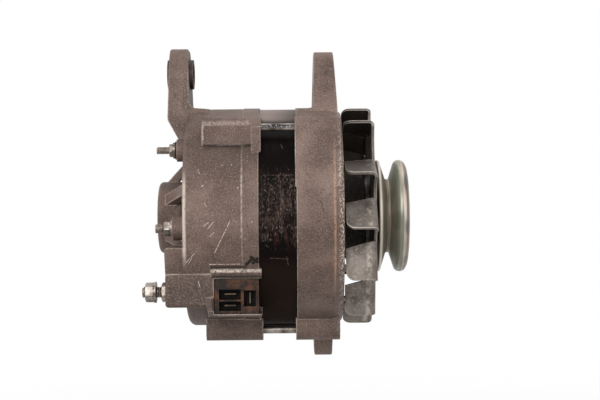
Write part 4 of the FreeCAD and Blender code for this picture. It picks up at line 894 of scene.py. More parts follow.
@dataclass(frozen=True)
class FanFinish(PlatedFinish):
    """Dull zinc on the fan, dark with sooty dirt and painted shade on the faces that look inwards
    and on the upper blades.

    Attributes:
        worn: Tone of its rubbed bends, which also paints their highlight.
        soot_and_shade: Tone of sooty dirt and painted shade.
        plate_x: X of the fan's plate, in metres, behind which the dark tone lies.
        plate_fade: Distance behind it at which the dark tone is full.
        inner_r: Radius inside which the dark tone lies.
        inner_fade: Distance inside that radius at which the dark tone is full.
        soot_and_shade_heights: Heights over the shaft between which the blades grow dark.
        soot_and_shade_share: How strong the dark tone is at the upper one.
    """

    shine: tuple = linear(234, 225, 214)
    shine_share: float = 0.85
    worn: tuple = linear(206, 196, 186)
    soot_and_shade: tuple = linear(46, 37, 31)
    plate_x: float = 0.0268
    plate_fade: float = 0.0004
    inner_r: float = 0.044
    inner_fade: float = 0.006
    soot_and_shade_heights: tuple[float, float] = (0.01, 0.042)
    soot_and_shade_share: float = 0.85

    def aged(self, shader: Shader, masks: dict[str, Wire]) -> tuple[Layer, ...]:
        """Gives rubbed bends with a painted highlight, a mottle, and the dark tone of sooty dirt
        and painted shade on inward faces, round the hub and above.

        Args:
            shader: The shader.
            masks: The masks.

        Returns:
            The layers.
        """
        height, radius = shader.height(), shader.radius()
        normal = shader.node("ShaderNodeTexCoord", output="Normal")
        facing = shader.node("ShaderNodeSeparateXYZ", values={0: normal})
        outward = (facing.out("Y") * shader.y + facing.out("Z") * height) / radius
        near_hub = radius.step(self.inner_r, self.inner_r - self.inner_fade)
        above = height.step(*self.soot_and_shade_heights) * self.soot_and_shade_share
        masks["inward"] = outward.step(0.1, -0.3).larger(near_hub).larger(above)
        masks["grained"] = masks["fine"].spread(0.8, 1.1)
        masks["rubbed"] = shader.noise(Noise(150.0, 3.0, 0.6, shift=0.15))
        masks["mottled"] = shader.noise(Noise(700.0, 3.0, 0.6, shift=0.35))
        behind = (self.plate_x, self.plate_x - self.plate_fade)
        return (
            # Rubbed bends, also a painted highlight.
            Layer(self.worn, 0.45, {"rubbed": (0.46, 0.62)}, span=(22.6, 25.2, 1.2)),
            Layer(self.worn, 0.2, {"mottled": (0.5, 0.7)}),
            # Painted shade with sooty dirt, behind the plate: on inward faces, round the hub and on
            # the upper blades.
            Layer(self.soot_and_shade, 1.0, {"x": behind, "inward": (), "grained": ()}),
        )


@dataclass(frozen=True)
class TurnedFinish(Finish):
    """Turned and plated steel, with fine rings round the shaft.

    Attributes:
        bright: Tone of clean plating.
        ring: Width of a ring, in metres.
        ring_depth: Depth of a ring.
        rough: Least roughness.
        metal: Share of metal.
        layers: The tones over it, in order, with painted reflections, highlights and shade in the
            bands along X.
    """

    bright: tuple = linear(170, 162, 147)
    ring: float = 0.00035
    ring_depth: float = 0.00006
    rough: float = 0.3
    metal: float = 0.35
    layers: tuple[Layer, ...] = (
        Layer(linear(98, 93, 82), 1.0, {"worked": ()}),
        Layer(linear(170, 140, 108), 0.5, {"tint": (0.52, 0.66)}),
        Layer(linear(108, 116, 100), 0.6, {"tint": (0.46, 0.34)}),
        # Bands along X paint the pulley's reflections: highlights on the rear crest and the front
        # rim, shade in the groove.
        Layer(linear(146, 132, 114), 0.6, span=(28.0, 30.0, 0.6)),
        Layer(linear(224, 214, 198), 0.8, span=(31.2, 33.2, 0.7)),
        Layer(linear(140, 138, 122), 0.5, span=(33.8, 35.4, 0.6)),
        Layer(linear(60, 52, 44), 0.7, span=(36.6, 37.8, 0.5)),
        Layer(linear(142, 144, 130), 0.65, span=(38.6, 44.0, 1.2)),
        Layer(linear(222, 210, 194), 0.45, span=(45.0, 45.8, 0.4)),
        Layer(linear(82, 72, 63), 0.75, span=(46.8, 48.0, 0.5)),
        # Darker patches, then painted glints on the front rim and the rear crest.
        Layer(linear(66, 62, 66), 0.6, {"cloudy": ()}, tone_ovals=PULLEY_DARK_PATCHES),
        Layer(linear(232, 216, 206), 1.0, {"glinting": ()}, tone_ovals=PULLEY_GLINTS),
    )

    def paint(self, shader: Shader) -> None:
        """Lays the tones and the rings.

        Args:
            shader: The shader.
        """
        masks = shader.masks(
            clouds=Noise(60.0, 3.0, 0.55, (4.0, 1.0, 0.5)),
            tint=Noise(40.0, 2.0, 0.5, (5.0, 1.0, 0.6), 0.2),
        )
        clouds = masks["clouds"]
        place = shader.node("ShaderNodeCombineXYZ", values={0: shader.x, 1: shader.radius()})
        rings = shader.node(
            "ShaderNodeTexNoise",
            {"noise_dimensions": "2D"},
            {"Vector": place, "Scale": 1.0 / self.ring, "Detail": 2.0},
        )
        masks["worked"] = clouds.step(0.38, 0.64) * 0.85 + rings * 0.15
        masks["cloudy"] = clouds + 1.0
        masks["glinting"] = clouds.spread(0.5, 1.2)
        shader.set(
            Base_Color=shader.laid(self.bright, masks, self.layers),
            Roughness=self.rough + clouds * 0.14,
            Normal=shader.bumped(rings, self.ring_depth, 0.7),
            Metallic=self.metal,
        )


@dataclass(frozen=True)
class MouldedFinish(Finish):
    """Moulded plastic or fibre with a fine grain and a little mottling.

    Attributes:
        light: Tone of clean moulding.
        dark: Tone of its mottling.
        rough: Least roughness.
        gloss: Strength of its shine.
        patch: Patches of mottling per metre.
        clean: Level of the noise up to which it is clean.
        hollow: A node whose inside, seen from the near side, gets painted shade, or nothing.
        inside: Tone of that painted shade.
        inner_fade: How far behind the node's near face it starts and is full, in metres.
        grain_depth: Depth of its grain.
    """

    light: tuple = linear(80, 50, 33)
    dark: tuple = linear(27, 17, 12)
    rough: float = 0.5
    gloss: float = 0.25
    patch: float = 190.0
    clean: float = 0.37
    hollow: str = ""
    inside: tuple = linear(9, 6, 5)
    inner_fade: tuple[float, float] = (0.0008, 0.003)
    grain_depth: float = 0.00006

    def paint(self, shader: Shader) -> None:
        """Lays the mottling, the painted shade inside and a fine grain.

        Args:
            shader: The shader.
        """
        masks = shader.masks(mottle=Noise(self.patch, 4.0, 0.65), grain=Noise(2600.0, 2.0, 0.5))
        layers = [Layer(self.dark, 1.0, {"mottle": (self.clean, self.clean + 0.2)})]
        if self.hollow:
            behind = shader.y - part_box(self.hollow)[0][1]
            masks["inside"] = behind.step(*self.inner_fade)
            # Painted shade deep inside the hollow node.
            layers.append(Layer(self.inside, 0.9, {"inside": ()}))
        shader.set(
            Base_Color=shader.laid(self.light, masks, layers),
            Roughness=self.rough + masks["mottle"] * 0.12,
            Normal=shader.bumped(masks["grain"], self.grain_depth, 0.7),
            Specular_IOR_Level=self.gloss,
        )


@dataclass(frozen=True)
class MetalFinish(Finish):
    """Plain metal with cloudy tone and fine grain, from copper to iron.

    Attributes:
        light: Tone of clean metal.
        dark: Tone of its clouds.
        rough: Least roughness.
        metal: Share of metal.
        grain: Grains per metre.
        grain_depth: Depth of its grain, in metres.
    """

    light: tuple = linear(120, 110, 104)
    dark: tuple = linear(72, 64, 60)
    rough: float = 0.42
    metal: float = 0.8
    grain: float = 1800.0
    grain_depth: float = 0.00005

    def paint(self, shader: Shader) -> None:
        """Lays the clouds and the grain.

        Args:
            shader: The shader.
        """
        masks = shader.masks(clouds=Noise(120.0, 4.0, 0.6), grain=Noise(self.grain, 2.0, 0.6))
        layers = [Layer(self.dark, 1.0, {"clouds": (0.32, 0.7)})]
        shader.set(
            Base_Color=shader.laid(self.light, masks, layers),
            Roughness=self.rough + masks["clouds"] * 0.15,
            Normal=shader.bumped(masks["grain"], self.grain_depth, 0.6),
            Metallic=self.metal,
        )


CAST = CastFinish("cast_aluminium_brown_grey", Slot.CAST)
CORE = LacquerFinish("core_black_lacquer", Slot.CORE)
ZINC = PlatedFinish("zinc_bright", Slot.ZINC)
DRAWN_ZINC = DrawnFinish("zinc_drawn", Slot.ZINC)
WORN_ZINC = PlatedFinish(
    "zinc_worn",
    Slot.ZINC,
    bright=linear(152, 132, 117),
    dull=linear(58, 42, 33),
    bloom=linear(104, 82, 62),
    rough=0.34,
)
FAN_ZINC = FanFinish(
    "fan_zinc_dull",
    Slot.FAN,
    bright=linear(120, 111, 104),
    dull=linear(76, 67, 60),
    bloom=linear(94, 83, 70),
    rough=0.38,
    metal=0.5,
    cloud=85.0,
    edge=0.0009,
)
PULLEY_ZINC = TurnedFinish("pulley_turned_zinc", Slot.PULLEY)
DARK_STEEL = MetalFinish("steel_dark", Slot.DARK_STEEL)
BUSH_STEEL = MetalFinish(
    "steel_rusty", Slot.DARK_STEEL, linear(84, 70, 63), linear(36, 27, 23), rough=0.5, metal=0.4
)
BEARING_STEEL = MetalFinish(
    "steel_ground", Slot.BEARING, linear(178, 174, 168), linear(138, 134, 128), 0.26, 0.95, 2600.0
)
POLE_IRON = MetalFinish(
    "iron_lacquered", Slot.POLE, linear(58, 50, 47), linear(30, 26, 25), 0.45, 0.3, 900.0
)
ENAMEL = MetalFinish(
    "wire_enamel", Slot.WINDING, linear(150, 74, 38), linear(92, 40, 22), 0.28, 0.55, 1200.0
)
RING_COPPER = MetalFinish(
    "copper_turned", Slot.RING, linear(196, 126, 92), linear(150, 88, 60), 0.24, 0.95, 2600.0
)
HEAT_SINK = MetalFinish(
    "heat_sink_sheet", Slot.HEAT_SINK, linear(188, 186, 182), linear(150, 147, 142), 0.38, 0.85
)
TINNED = MetalFinish(
    "blade_tinned", Slot.TINNED, linear(104, 86, 70), linear(58, 45, 35), 0.42, metal=0.5
)
PHENOLIC = MouldedFinish("phenolic_brown", Slot.PHENOLIC, hollow="connector_housing")
BLACK = MouldedFinish("moulding_black", Slot.BLACK, linear(42, 40, 40), linear(24, 23, 23), 0.45)
CARBON = MouldedFinish("carbon_brush", Slot.CARBON, linear(52, 50, 50), linear(34, 33, 34), 0.55)
FIBRE = MouldedFinish("fibre_dark", Slot.FIBRE, linear(52, 38, 30), linear(30, 22, 18), 0.6)


class Forge:
    """Turns built geometry into finished pieces on the casing.

    Attributes:
        ANGLES: Angles of a ring's sections, in radians.
        MERGED: Distance within which points of a piece become one, in metres.
    """

    ANGLES = tuple(2 * math.pi * step / FACES_ROUND for step in range(FACES_ROUND))
    MERGED = 1e-7

    @staticmethod
    def piece(
        name: str,
        mesh: bpy.types.Mesh,
        finish: Finish,
        replaced: Iterable[str] = (),
    ) -> bpy.types.Object:
        """Makes a piece that rides on the casing, from a mesh whose points are in place.

        Args:
            name: The piece's name.
            mesh: Its mesh, in the frame's coordinates.
            finish: Its finish.
            replaced: Nodes that it stands for.

        Returns:
            The piece.
        """
        piece = bpy.data.objects.new(name, mesh)
        bpy.context.scene.collection.objects.link(piece)
        finish.dress(piece)
        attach(piece, CASING)
        if replaced:
            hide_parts(*replaced)
        log.info("%s: %d faces on %s", name, len(mesh.polygons), CASING)
        return piece

    @staticmethod
    def from_bmesh(name: str, built: bmesh.types.BMesh) -> bpy.types.Mesh:
        """Closes a bmesh into a mesh whose faces point outwards.

        Args:
            name: The mesh's name.
            built: The bmesh, which is freed.

        Returns:
            The mesh.
        """
        bmesh.ops.remove_doubles(built, verts=built.verts, dist=Forge.MERGED)
        bmesh.ops.recalc_face_normals(built, faces=built.faces)
        mesh = bpy.data.meshes.new(name)
        built.to_mesh(mesh)
        built.free()
        return mesh

    @staticmethod
    def skin(built: bmesh.types.BMesh, sections: Sequence[Sequence[Point]], ring: bool) -> None:
        """Joins closed sections by faces.

        Args:
            built: The bmesh to add to.
            sections: The points of each section, all of one number.
            ring: Whether the last section joins the first; if not, both ends get a face.
        """
        made = [[built.verts.new(point) for point in section] for section in sections]
        for here, there in zip(made, made[1:] + made[:1] if ring else made[1:]):
            for i, start in enumerate(here):
                j = (i + 1) % len(here)
                built.faces.new((start, here[j], there[j], there[i]))
        if not ring:
            built.faces.new(made[0])
            built.faces.new(made[-1])

    @classmethod
    def spin(
        cls,
        built: bmesh.types.BMesh,
        centre: tuple[float, float],
        profiles: Iterable[Sequence[tuple[float, float]]],
    ) -> None:
        """Makes a ring round an axis along X.

        Args:
            built: The bmesh to add to.
            centre: Y and Z of the axis.
            profiles: X and radius of the profile's points, at each of the angles.
        """
        sections = [
            [
                (x, centre[0] + radius * math.cos(angle), centre[1] + radius * math.sin(angle))
                for x, radius in profile
            ]
            for angle, profile in zip(cls.ANGLES, profiles)
        ]
        cls.skin(built, sections, ring=True)


class GeometryTree(Tree):
    """A Geometry Nodes tree with named inputs, whose result becomes a plain mesh."""

    KINDS = {float: "NodeSocketFloat", int: "NodeSocketInt"}

    def __init__(self, name: str, sizes: dict[str, float | int]) -> None:
        """Makes the tree with one named input for each size.

        Args:
            name: The tree's name.
            sizes: The named inputs and their values.
        """
        super().__init__(bpy.data.node_groups.new(name, "GeometryNodeTree"))
        self.name = name
        self.sizes = sizes
        face = self.tree.interface
        face.new_socket(name="Geometry", in_out="OUTPUT", socket_type="NodeSocketGeometry")
        for key, value in sizes.items():
            face.new_socket(name=key, in_out="INPUT", socket_type=self.KINDS[type(value)])
        face.new_socket(name="Finish", in_out="INPUT", socket_type="NodeSocketMaterial")
        self.inputs = self.node("NodeGroupInput")

    def size(self, name: str) -> Wire:
        """The wire of a named input."""
        return self.inputs.out(name)

    def coil(self, points: int, sides: int) -> Wire:
        """Wire wound round Z, after the inputs Turns, Radius, Length and Wire.

        Args:
            points: Points for each turn.
            sides: Sides of the wire.

        Returns:
            The coil.
        """
        path = self.node(
            "GeometryNodeCurveSpiral",
            values={
                "Resolution": points,
                "Rotations": self.size("Turns"),
                "Start Radius": self.size("Radius"),
                "End Radius": self.size("Radius"),
                "Height": self.size("Length"),
            },
        )
        section = self.node(
            "GeometryNodeCurvePrimitiveCircle",
            {"mode": "RADIUS"},
            {"Resolution": sides, "Radius": self.size("Wire")},
        )
        values = {"Curve": path, "Profile Curve": section, "Fill Caps": True}
        return self.node("GeometryNodeCurveToMesh", values=values)

    def raised(self, shape: Wire, height: float) -> Wire:
        """A shape moved along Z."""
        values = {"Geometry": shape, "Translation": (0.0, 0.0, height)}
        return self.node("GeometryNodeTransform", values=values)

    def mesh(self, shape: Wire, finish: Finish, place: Matrix) -> bpy.types.Mesh:
        """Ends the tree, evaluates it and moves the result into place.

        Args:
            shape: The tree's result.
            finish: The finish that Set Material puts on it.
            place: Where the result goes in the frame.

        Returns:
            A plain mesh.
        """
        real = self.node("GeometryNodeRealizeInstances", values={"Geometry": shape})
        values = {"Geometry": real, "Material": self.size("Finish")}
        dressed = self.node("GeometryNodeSetMaterial", values=values)
        self.node("NodeGroupOutput", values={"Geometry": dressed})
        carrier = bpy.data.objects.new(self.name, bpy.data.meshes.new(self.name))
        bpy.context.scene.collection.objects.link(carrier)
        modifier = carrier.modifiers.new(self.name, "NODES")
        modifier.node_group = self.tree
        chosen = {**self.sizes, "Finish": finish.material()}
        for item in self.tree.interface.items_tree:
            if item.in_out == "INPUT" and item.name in chosen:
                modifier[item.identifier] = chosen[item.name]
        graph = bpy.context.evaluated_depsgraph_get()
        result = bpy.data.meshes.new_from_object(carrier.evaluated_get(graph))
        carrier.modifiers.remove(modifier)
        bpy.data.objects.remove(carrier)
        result.transform(place)
        result.name = self.name
        return result


@dataclass(frozen=True)
class Stud:
    """A threaded stud along X, made for a plain one of the frame.

    Attributes:
        node: The frame's node.
        thread_start: X of the thread's end inside, in metres.
        pitch: The thread's pitch.
        depth: The thread's depth.
        near_tip: How close to the stud's end a point counts as its tip.
        points: Points for each turn of the thread.
        sides: Sides of the thread's core.
        merged: Distance within which points of the frame's node become one.
    """

    node: str
    thread_start: float
    pitch: float
    depth: float
    near_tip: float = 1e-5
    points: int = 20
    sides: int = 28
    merged: float = 1e-6

    def build(self) -> bpy.types.Object:
        """Makes the stud: its plain part from the frame's node, and a cut thread at its end.

        Returns:
            The piece.
        """
        low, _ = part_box(self.node)
        y, z = middle(self.node)
        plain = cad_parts[self.node].data
        tip = [v.co for v in plain.vertices if v.co.x < low[0] + self.near_tip]
        radius = max(math.hypot(co.y - y, co.z - z) for co in tip)
        length = self.thread_start - low[0]
        sizes = {
            "Radius": radius - self.depth / 2,
            "Length": length - self.pitch,
            "Turns": length / self.pitch - 1.0,
            "Wire": self.depth,
            "Core": radius - self.depth,
            "Full": length,
        }
        tree = GeometryTree(f"{self.node}_thread", sizes)
        values = {"Vertices": self.sides, "Radius": tree.size("Core"), "Depth": tree.size("Full")}
        core = tree.raised(tree.node("GeometryNodeMeshCylinder", values=values), length / 2)
        thread = tree.raised(tree.coil(self.points, sides=4), self.pitch / 2)
        joined = tree.node("GeometryNodeJoinGeometry", values={"Geometry": [core, thread]})
        turn = Matrix.Rotation(math.pi / 2, 4, "Y")
        place = Matrix.Translation((low[0], y, z)) @ turn
        built = bmesh.new()
        built.from_mesh(tree.mesh(joined, WORN_ZINC, place))
        self._add_plain_part(built, plain)
        name = f"{self.node}_threaded"
        return Forge.piece(name, Forge.from_bmesh(name, built), WORN_ZINC, [self.node])

    def _add_plain_part(self, built: bmesh.types.BMesh, plain: bpy.types.Mesh) -> None:
        """Adds what the frame's node has beyond the thread.

        Args:
            built: The bmesh to add to.
            plain: The node's mesh.
        """
        rest = bmesh.new()
        rest.from_mesh(plain)
        bmesh.ops.remove_doubles(rest, verts=rest.verts, dist=self.merged)
        cut = bmesh.ops.bisect_plane(
            rest,
            geom=rest.verts[:] + rest.edges[:] + rest.faces[:],
            plane_co=(self.thread_start, 0, 0),
            plane_no=(-1, 0, 0),
            clear_outer=True,
        )
        edges = [part for part in cut["geom_cut"] if isinstance(part, bmesh.types.BMEdge)]
        bmesh.ops.holes_fill(rest, edges=edges)
        kept = bpy.data.meshes.new("plain_part")
        rest.to_mesh(kept)
        rest.free()
        built.from_mesh(kept)
        bpy.data.meshes.remove(kept)


@dataclass(frozen=True)
class HexNut:
    """Six sided nuts along X with the curved chamfers of real ones, for a node of plain ones.

    Attributes:
        node: The frame's node.
        across: Width across the flats, in metres.
        bore: Radius of the hole.
        first: Angle of the first corner, in radians.
        flange: Thickness of the flange at the front, or 0.
        chamfer: Angle of the chamfer, in degrees.
        crown: Share of the flats' radius that the chamfer leaves flat.
        edge: Width of the flange's broken edge.
        places: Decimal places to which points at one X agree.
    """

    node: str
    across: float
    bore: float
    first: float
    flange: float = 0.0
    chamfer: float = 30.0
    crown: float = 0.94
    edge: float = 0.00015
    places: int = 5

    def build(self) -> bpy.types.Object:
        """Makes the nuts.

        Returns:
            The piece.
        """
        low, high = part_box(self.node)
        centre = middle(self.node)
        built = bmesh.new()
        for start, end in [(low[0], high[0])] if self.flange else self._spans():
            foot = end - self.flange
            hexagon = [self._hexagon(start, foot, angle) for angle in Forge.ANGLES]
            Forge.spin(built, centre, hexagon)
            if self.flange:
                outer = (high[1] - low[1]) / 2
                disc = self._profile(foot, end, outer - self.edge, outer, self.edge)
                Forge.spin(built, centre, [disc] * len(Forge.ANGLES))
        name = f"{self.node}_chamfered"
        return Forge.piece(name, Forge.from_bmesh(name, built), ZINC, [self.node])

    def _spans(self) -> list[tuple[float, float]]:
        """Finds the separate nuts in the node.

        Returns:
            X of the start and end of each nut, from the rear on.
        """
        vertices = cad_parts[self.node].data.vertices
        stations = sorted({round(vertex.co.x, self.places) for vertex in vertices})
        return list(zip(stations[::2], stations[1::2]))

    def _hexagon(self, start: float, end: float, angle: float) -> list[tuple[float, float]]:
        """Profile of a six sided ring at an angle.

        Args:
            start: X of its rear face.
            end: X of its front face.
            angle: The angle round its axis.

        Returns:
            X and radius of each point.
        """
        flat = self.across / 2
        face = flat * self.crown
        # Half of the angle that each of the six sides takes.
        half = math.pi / 6
        side = (angle - self.first + half) % (2 * half) - half
        corner = flat / math.cos(half - abs(side))
        drop = (corner - face) * math.tan(math.radians(self.chamfer))
        return self._profile(start, end, face, corner, drop)

    def _profile(
        self, start: float, end: float, face: float, outer: float, drop: float
    ) -> list[tuple[float, float]]:
        """Profile of a ring whose edges are broken by a drop along X, as X and radius."""
        rear = [(start, self.bore), (start, face), (start + drop, outer)]
        return [*rear, (end - drop, outer), (end, face), (end, self.bore)]


@dataclass(frozen=True)
class Terminals:
    """The studs and nuts at the rear, made for the frame's plain ones.

    Attributes:
        studs: The studs.
        nuts: The nuts.
    """

    studs: tuple[Stud, ...] = (
        Stud("output_stud", thread_start=-0.0885, pitch=0.0010, depth=0.00045),
        Stud("middle_stud", thread_start=-0.0815, pitch=0.0008, depth=0.0004),
        Stud("upper_stud", thread_start=-0.0815, pitch=0.0007, depth=0.00035),
    )
    nuts: tuple[HexNut, ...] = (
        HexNut("output_stud_nuts", across=0.010, bore=0.003, first=0.35),
        HexNut("middle_stud_nut", across=0.008, bore=0.0025, first=0.1),
        HexNut("upper_stud_nut", across=0.007, bore=0.002, first=0.2, flange=0.0014),
    )

    def build(self) -> None:
        """Makes every stud and nut."""
        for part in (*self.studs, *self.nuts):
            part.build()


@dataclass(frozen=True)
class BrushSprings:
    """Coil springs under the brushes.

    Attributes:
        sides: The brush that each one is under.
        turns: Turns of a spring.
        wire: Radius of the wire, in metres.
        travel: How far a brush goes; not used.
        clear: Room that stays between a coil and its brush; not used.
        points: Points for each turn.
        wire_sides: Sides of the wire.
    """

    sides: tuple[str, ...] = ("positive", "negative")
    turns: float = 7.5
    wire: float = 0.0003
    travel: float = 0.006
    clear: float = 0.0001
    points: int = 24
    wire_sides: int = 8

    def build(self) -> None:
        """Makes both springs."""
        for side in self.sides:
            node = f"brush_spring_{side}"
            low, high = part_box(node)
            length = high[2] - low[2]
            sizes = {
                "Turns": self.turns,
                "Radius": (high[0] - low[0]) / 2 - self.wire,
                "Length": length - 2 * self.wire,
                "Wire": self.wire,
            }
            tree = GeometryTree(f"{node}_coil", sizes)
            x, y = (low[0] + high[0]) / 2, (low[1] + high[1]) / 2
            place = Matrix.Translation((x, y, low[2] + self.wire))
            mesh = tree.mesh(tree.coil(self.points, self.wire_sides), ZINC, place)
            piece = Forge.piece(f"{node}_coil", mesh, ZINC, [node])
            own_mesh(piece)


@dataclass(frozen=True)
class WeldSeams:
    """Weld seams that hold the core's sheets together, along the shaft.

    Attributes:
        angles: Place of each seam round the shaft, from the near side up, in degrees.
        half_width: Half a seam's width, in metres.
        height: How far it stands out of the core.
        sunk: How deep its foot goes into the core.
        ripple: Length of one ripple of the bead.
        swell: How much of its height a ripple takes.
        steps: Sections for each ripple.
        arc: Faces round a section's arch.
    """

    angles: tuple[float, ...] = (-85.0, 155.0, 215.0)
    half_width: float = 0.0026
    height: float = 0.0015
    sunk: float = 0.0004
    ripple: float = 0.0016
    swell: float = 0.12
    steps: int = 4
    arc: int = 10

    def build(self) -> bpy.types.Object:
        """Makes every seam as one piece.

        Returns:
            The piece.
        """
        low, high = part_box("stator_core")
        count = round((high[0] - low[0]) / self.ripple) * self.steps
        stations = [low[0] + (high[0] - low[0]) * i / count for i in range(count + 1)]
        core_r = (high[2] - low[2]) / 2
        built = bmesh.new()
        for angle in self.angles:
            sections = [self._section(x, x - low[0], core_r, math.radians(angle)) for x in stations]
            Forge.skin(built, sections, ring=False)
        return Forge.piece("core_weld_seams", Forge.from_bmesh("core_weld_seams", built), CORE)

    def _section(self, x: float, along: float, core_r: float, angle: float) -> list[Point]:
        """Arch of a bead at one place.

        Args:
            x: X of the place.
            along: How far it is from the bead's rear end.
            core_r: Radius of the core.
            angle: Place of the bead round the shaft, in radians.

        Returns:
            The arch's points.
        """
        wave = abs(math.sin(math.pi * along / self.ripple))
        height = self.height * (1 - self.swell * (1 - wave))
        points = []
        for step in range(self.arc + 1):
            turn = math.pi * step / self.arc
            radius = core_r - self.sunk + (height + self.sunk) * math.sin(turn)
            place = angle + self.half_width * math.cos(turn) / core_r
            points.append((x, -radius * math.cos(place), SHAFT_Z + radius * math.sin(place)))
        return points


@dataclass(frozen=True)
class Dressing:
    """Finishes for the frame's own pieces.

    Attributes:
        finishes: Each finish with the nodes that wear it.
    """

    finishes: tuple[tuple[Finish, tuple[str, ...]], ...] = (
        (CAST, ("front_housing", "rear_housing")),
        (CORE, ("stator_core",)),
        (BUSH_STEEL, ("pivot_bush",)),
        (DRAWN_ZINC, ("through_bolts",)),
        (FAN_ZINC, ("fan",)),
        (PULLEY_ZINC, ("pulley",)),
        (
            ZINC,
            (
                "bearing_retainer",
                "retainer_screws",
                "output_sleeve",
                "output_stud_washer",
                "middle_stud_washer",
                "pulley_washer",
                "pulley_nut",
            ),
        ),
        (
            BEARING_STEEL,
            (
                "front_bearing_outer",
                "rear_bearing_outer",
                "front_bearing_inner",
                "rear_bearing_inner",
            ),
        ),
        (DARK_STEEL, ("diodes_negative", "diodes_positive", "shaft", "shaft_key", "fan_spacer")),
        (POLE_IRON, ("claw_rear", "claw_front", "rotor_core")),
        (ENAMEL, ("stator_winding", "stator_leads", "field_coil")),
        (RING_COPPER, ("slip_ring_inner", "slip_ring_outer")),
        (HEAT_SINK, ("rectifier_negative_plate", "rectifier_positive_plate")),
        (BLACK, ("brush_holder", "regulator", "coil_bobbin", "slip_ring_insulator")),
        (CARBON, ("brush_positive", "brush_negative")),
        (PHENOLIC, ("terminal_board", "connector_housing")),
        (FIBRE, ("output_stud_insulator", "upper_stud_washer")),
        (TINNED, ("connector_terminals",)),
    )

    def build(self) -> None:
        """Dresses every node that still shows."""
        for finish, names in self.finishes:
            for name in names:
                finish.dress(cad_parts[name])
                log.info("%s: %s", name, finish.name)


@dataclass(frozen=True)
class Lamp:
    """A square soft lamp that faces the object.

    Attributes:
        name: Its name.
        place: Where it hangs, in metres.
        size: Its side.
        power: Its power in watts.
        target: What it faces.
    """

    name: str
    place: Point
    size: float
    power: float
    target: Point = (-0.03, 0.0, -0.08)

    def build(self) -> None:
        """Hangs the lamp."""
        data = bpy.data.lights.new(self.name, "AREA")
        data.size = self.size
        data.energy = self.power
        lamp = bpy.data.objects.new(self.name, data)
        bpy.context.scene.collection.objects.link(lamp)
        lamp.location = self.place
        facing = Vector(self.target) - Vector(self.place)
        lamp.rotation_euler = facing.to_track_quat("-Z", "Y").to_euler()


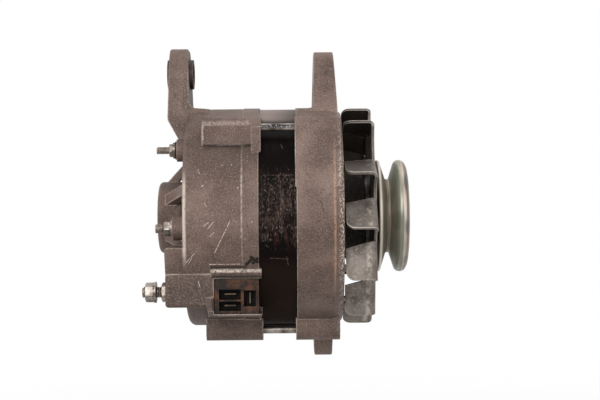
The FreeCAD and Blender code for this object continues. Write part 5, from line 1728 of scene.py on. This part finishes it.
@dataclass(frozen=True)
class Studio:
    """Pale floor, soft lamps and the camera.

    Attributes:
        scale: Millimetres of the object, at the shaft, for one pixel of the picture.
        view_x: X of the camera, in metres.
        view_z: Its height.
        distance: Its distance from the shaft.
        picture: Width of the picture in pixels.
        off_centre: How far right of the camera's axis the picture's middle is, in pixels.
        roll: How far the camera leans, in degrees.
        sensor: Width of its sensor, in millimetres.
        clip_end: How far it sees, in metres.
        floor_z: Height of the floor.
        floor_size: Side of the floor.
        floor_colour: Its colour in the light.
        floor_rough: Its roughness.
        floor_share: How much of it near the object is plain white to the camera.
        floor_fade: Distances between which the rest of it turns plain white.
        world_level: Strength of the light from all round.
        lamps: The lamps.
    """

    scale: float = 0.6
    view_x: float = -0.0216
    view_z: float = -0.0756
    distance: float = 0.75
    picture: float = 600.0
    off_centre: float = 12.0
    roll: float = -0.49
    sensor: float = 36.0
    clip_end: float = 50.0
    floor_z: float = -0.36
    floor_size: float = 40.0
    floor_colour: tuple = linear(212, 210, 208)
    floor_rough: float = 0.9
    floor_share: float = 0.9
    floor_fade: tuple[float, float] = (0.5, 1.4)
    world_level: float = 0.34
    lamps: tuple[Lamp, ...] = (
        Lamp("key", (-0.45, -1.45, 0.6), size=0.9, power=15.0),
        Lamp("fill", (1.1, -1.1, 0.2), size=1.0, power=4.0),
        Lamp("left", (-1.25, -0.5, 0.15), size=0.7, power=4.5),
        Lamp("over", (0.1, 0.2, 1.15), size=1.0, power=3.5),
    )

    def build(self) -> None:
        """Makes the camera, the floor, the world and the lamps."""
        self._camera()
        self._floor()
        self._world()
        for lamp in self.lamps:
            lamp.build()
        bpy.context.scene.view_settings.view_transform = "Standard"

    def _camera(self) -> None:
        """Sets the camera square to the shaft, at the picture's distance and framing."""
        data = bpy.data.cameras.new("camera")
        data.sensor_width = self.sensor
        data.lens = self.sensor * self.distance / (self.picture * self.scale * MM)
        data.shift_x = self.off_centre / self.picture
        data.clip_end = self.clip_end
        camera = bpy.data.objects.new("camera", data)
        bpy.context.scene.collection.objects.link(camera)
        place = Matrix.Translation((self.view_x, -self.distance, self.view_z))
        lean = Matrix.Rotation(math.radians(self.roll), 4, "Z")
        camera.matrix_world = place @ Matrix.Rotation(math.pi / 2, 4, "X") @ lean
        bpy.context.scene.camera = camera

    def _floor(self) -> None:
        """Lays a pale floor that looks white to the camera and keeps the object's shadow."""
        built = bmesh.new()
        bmesh.ops.create_grid(built, x_segments=1, y_segments=1, size=self.floor_size / 2)
        mesh = bpy.data.meshes.new("floor")
        built.to_mesh(mesh)
        built.free()
        mesh.transform(Matrix.Translation((0, 0, self.floor_z)))
        floor = bpy.data.objects.new("floor", mesh)
        bpy.context.scene.collection.objects.link(floor)
        shader = Shader("floor_pale")
        shader.set(Base_Color=self.floor_colour, Roughness=self.floor_rough)
        glow = shader.node("ShaderNodeEmission", values={"Color": WHITE, "Strength": 1.0})
        away = shader.x.hypot(shader.y).step(*self.floor_fade)
        share = shader.shown() * away.spread(self.floor_share, 1.0)
        lit = Wire(shader, shader.surface.outputs[0])
        blend = shader.node("ShaderNodeMixShader", values={0: share, 1: lit, 2: glow})
        shader.feed(shader.tree.nodes["Material Output"].inputs[0], blend)
        mesh.materials.append(shader.material)

    def _world(self) -> None:
        """Makes an even pale surround that the camera and reflections see as white."""
        world = bpy.data.worlds.new("surround")
        bpy.context.scene.world = world
        world.use_nodes = True
        tree = Tree(world.node_tree)
        light, white = (
            tree.node("ShaderNodeBackground", values={"Color": WHITE, "Strength": level})
            for level in (self.world_level, 1.0)
        )
        blend = tree.node("ShaderNodeMixShader", values={0: tree.shown(), 1: light, 2: white})
        tree.feed(tree.tree.nodes["World Output"].inputs[0], blend)


def main() -> None:
    """Builds the studio, the pieces and their finishes."""
    logging.basicConfig(level=logging.INFO, format="%(name)s: %(message)s")
    for part in (Studio(), Terminals(), BrushSprings(), WeldSeams(), Dressing()):
        part.build()


if __name__ == "__main__":
    main()
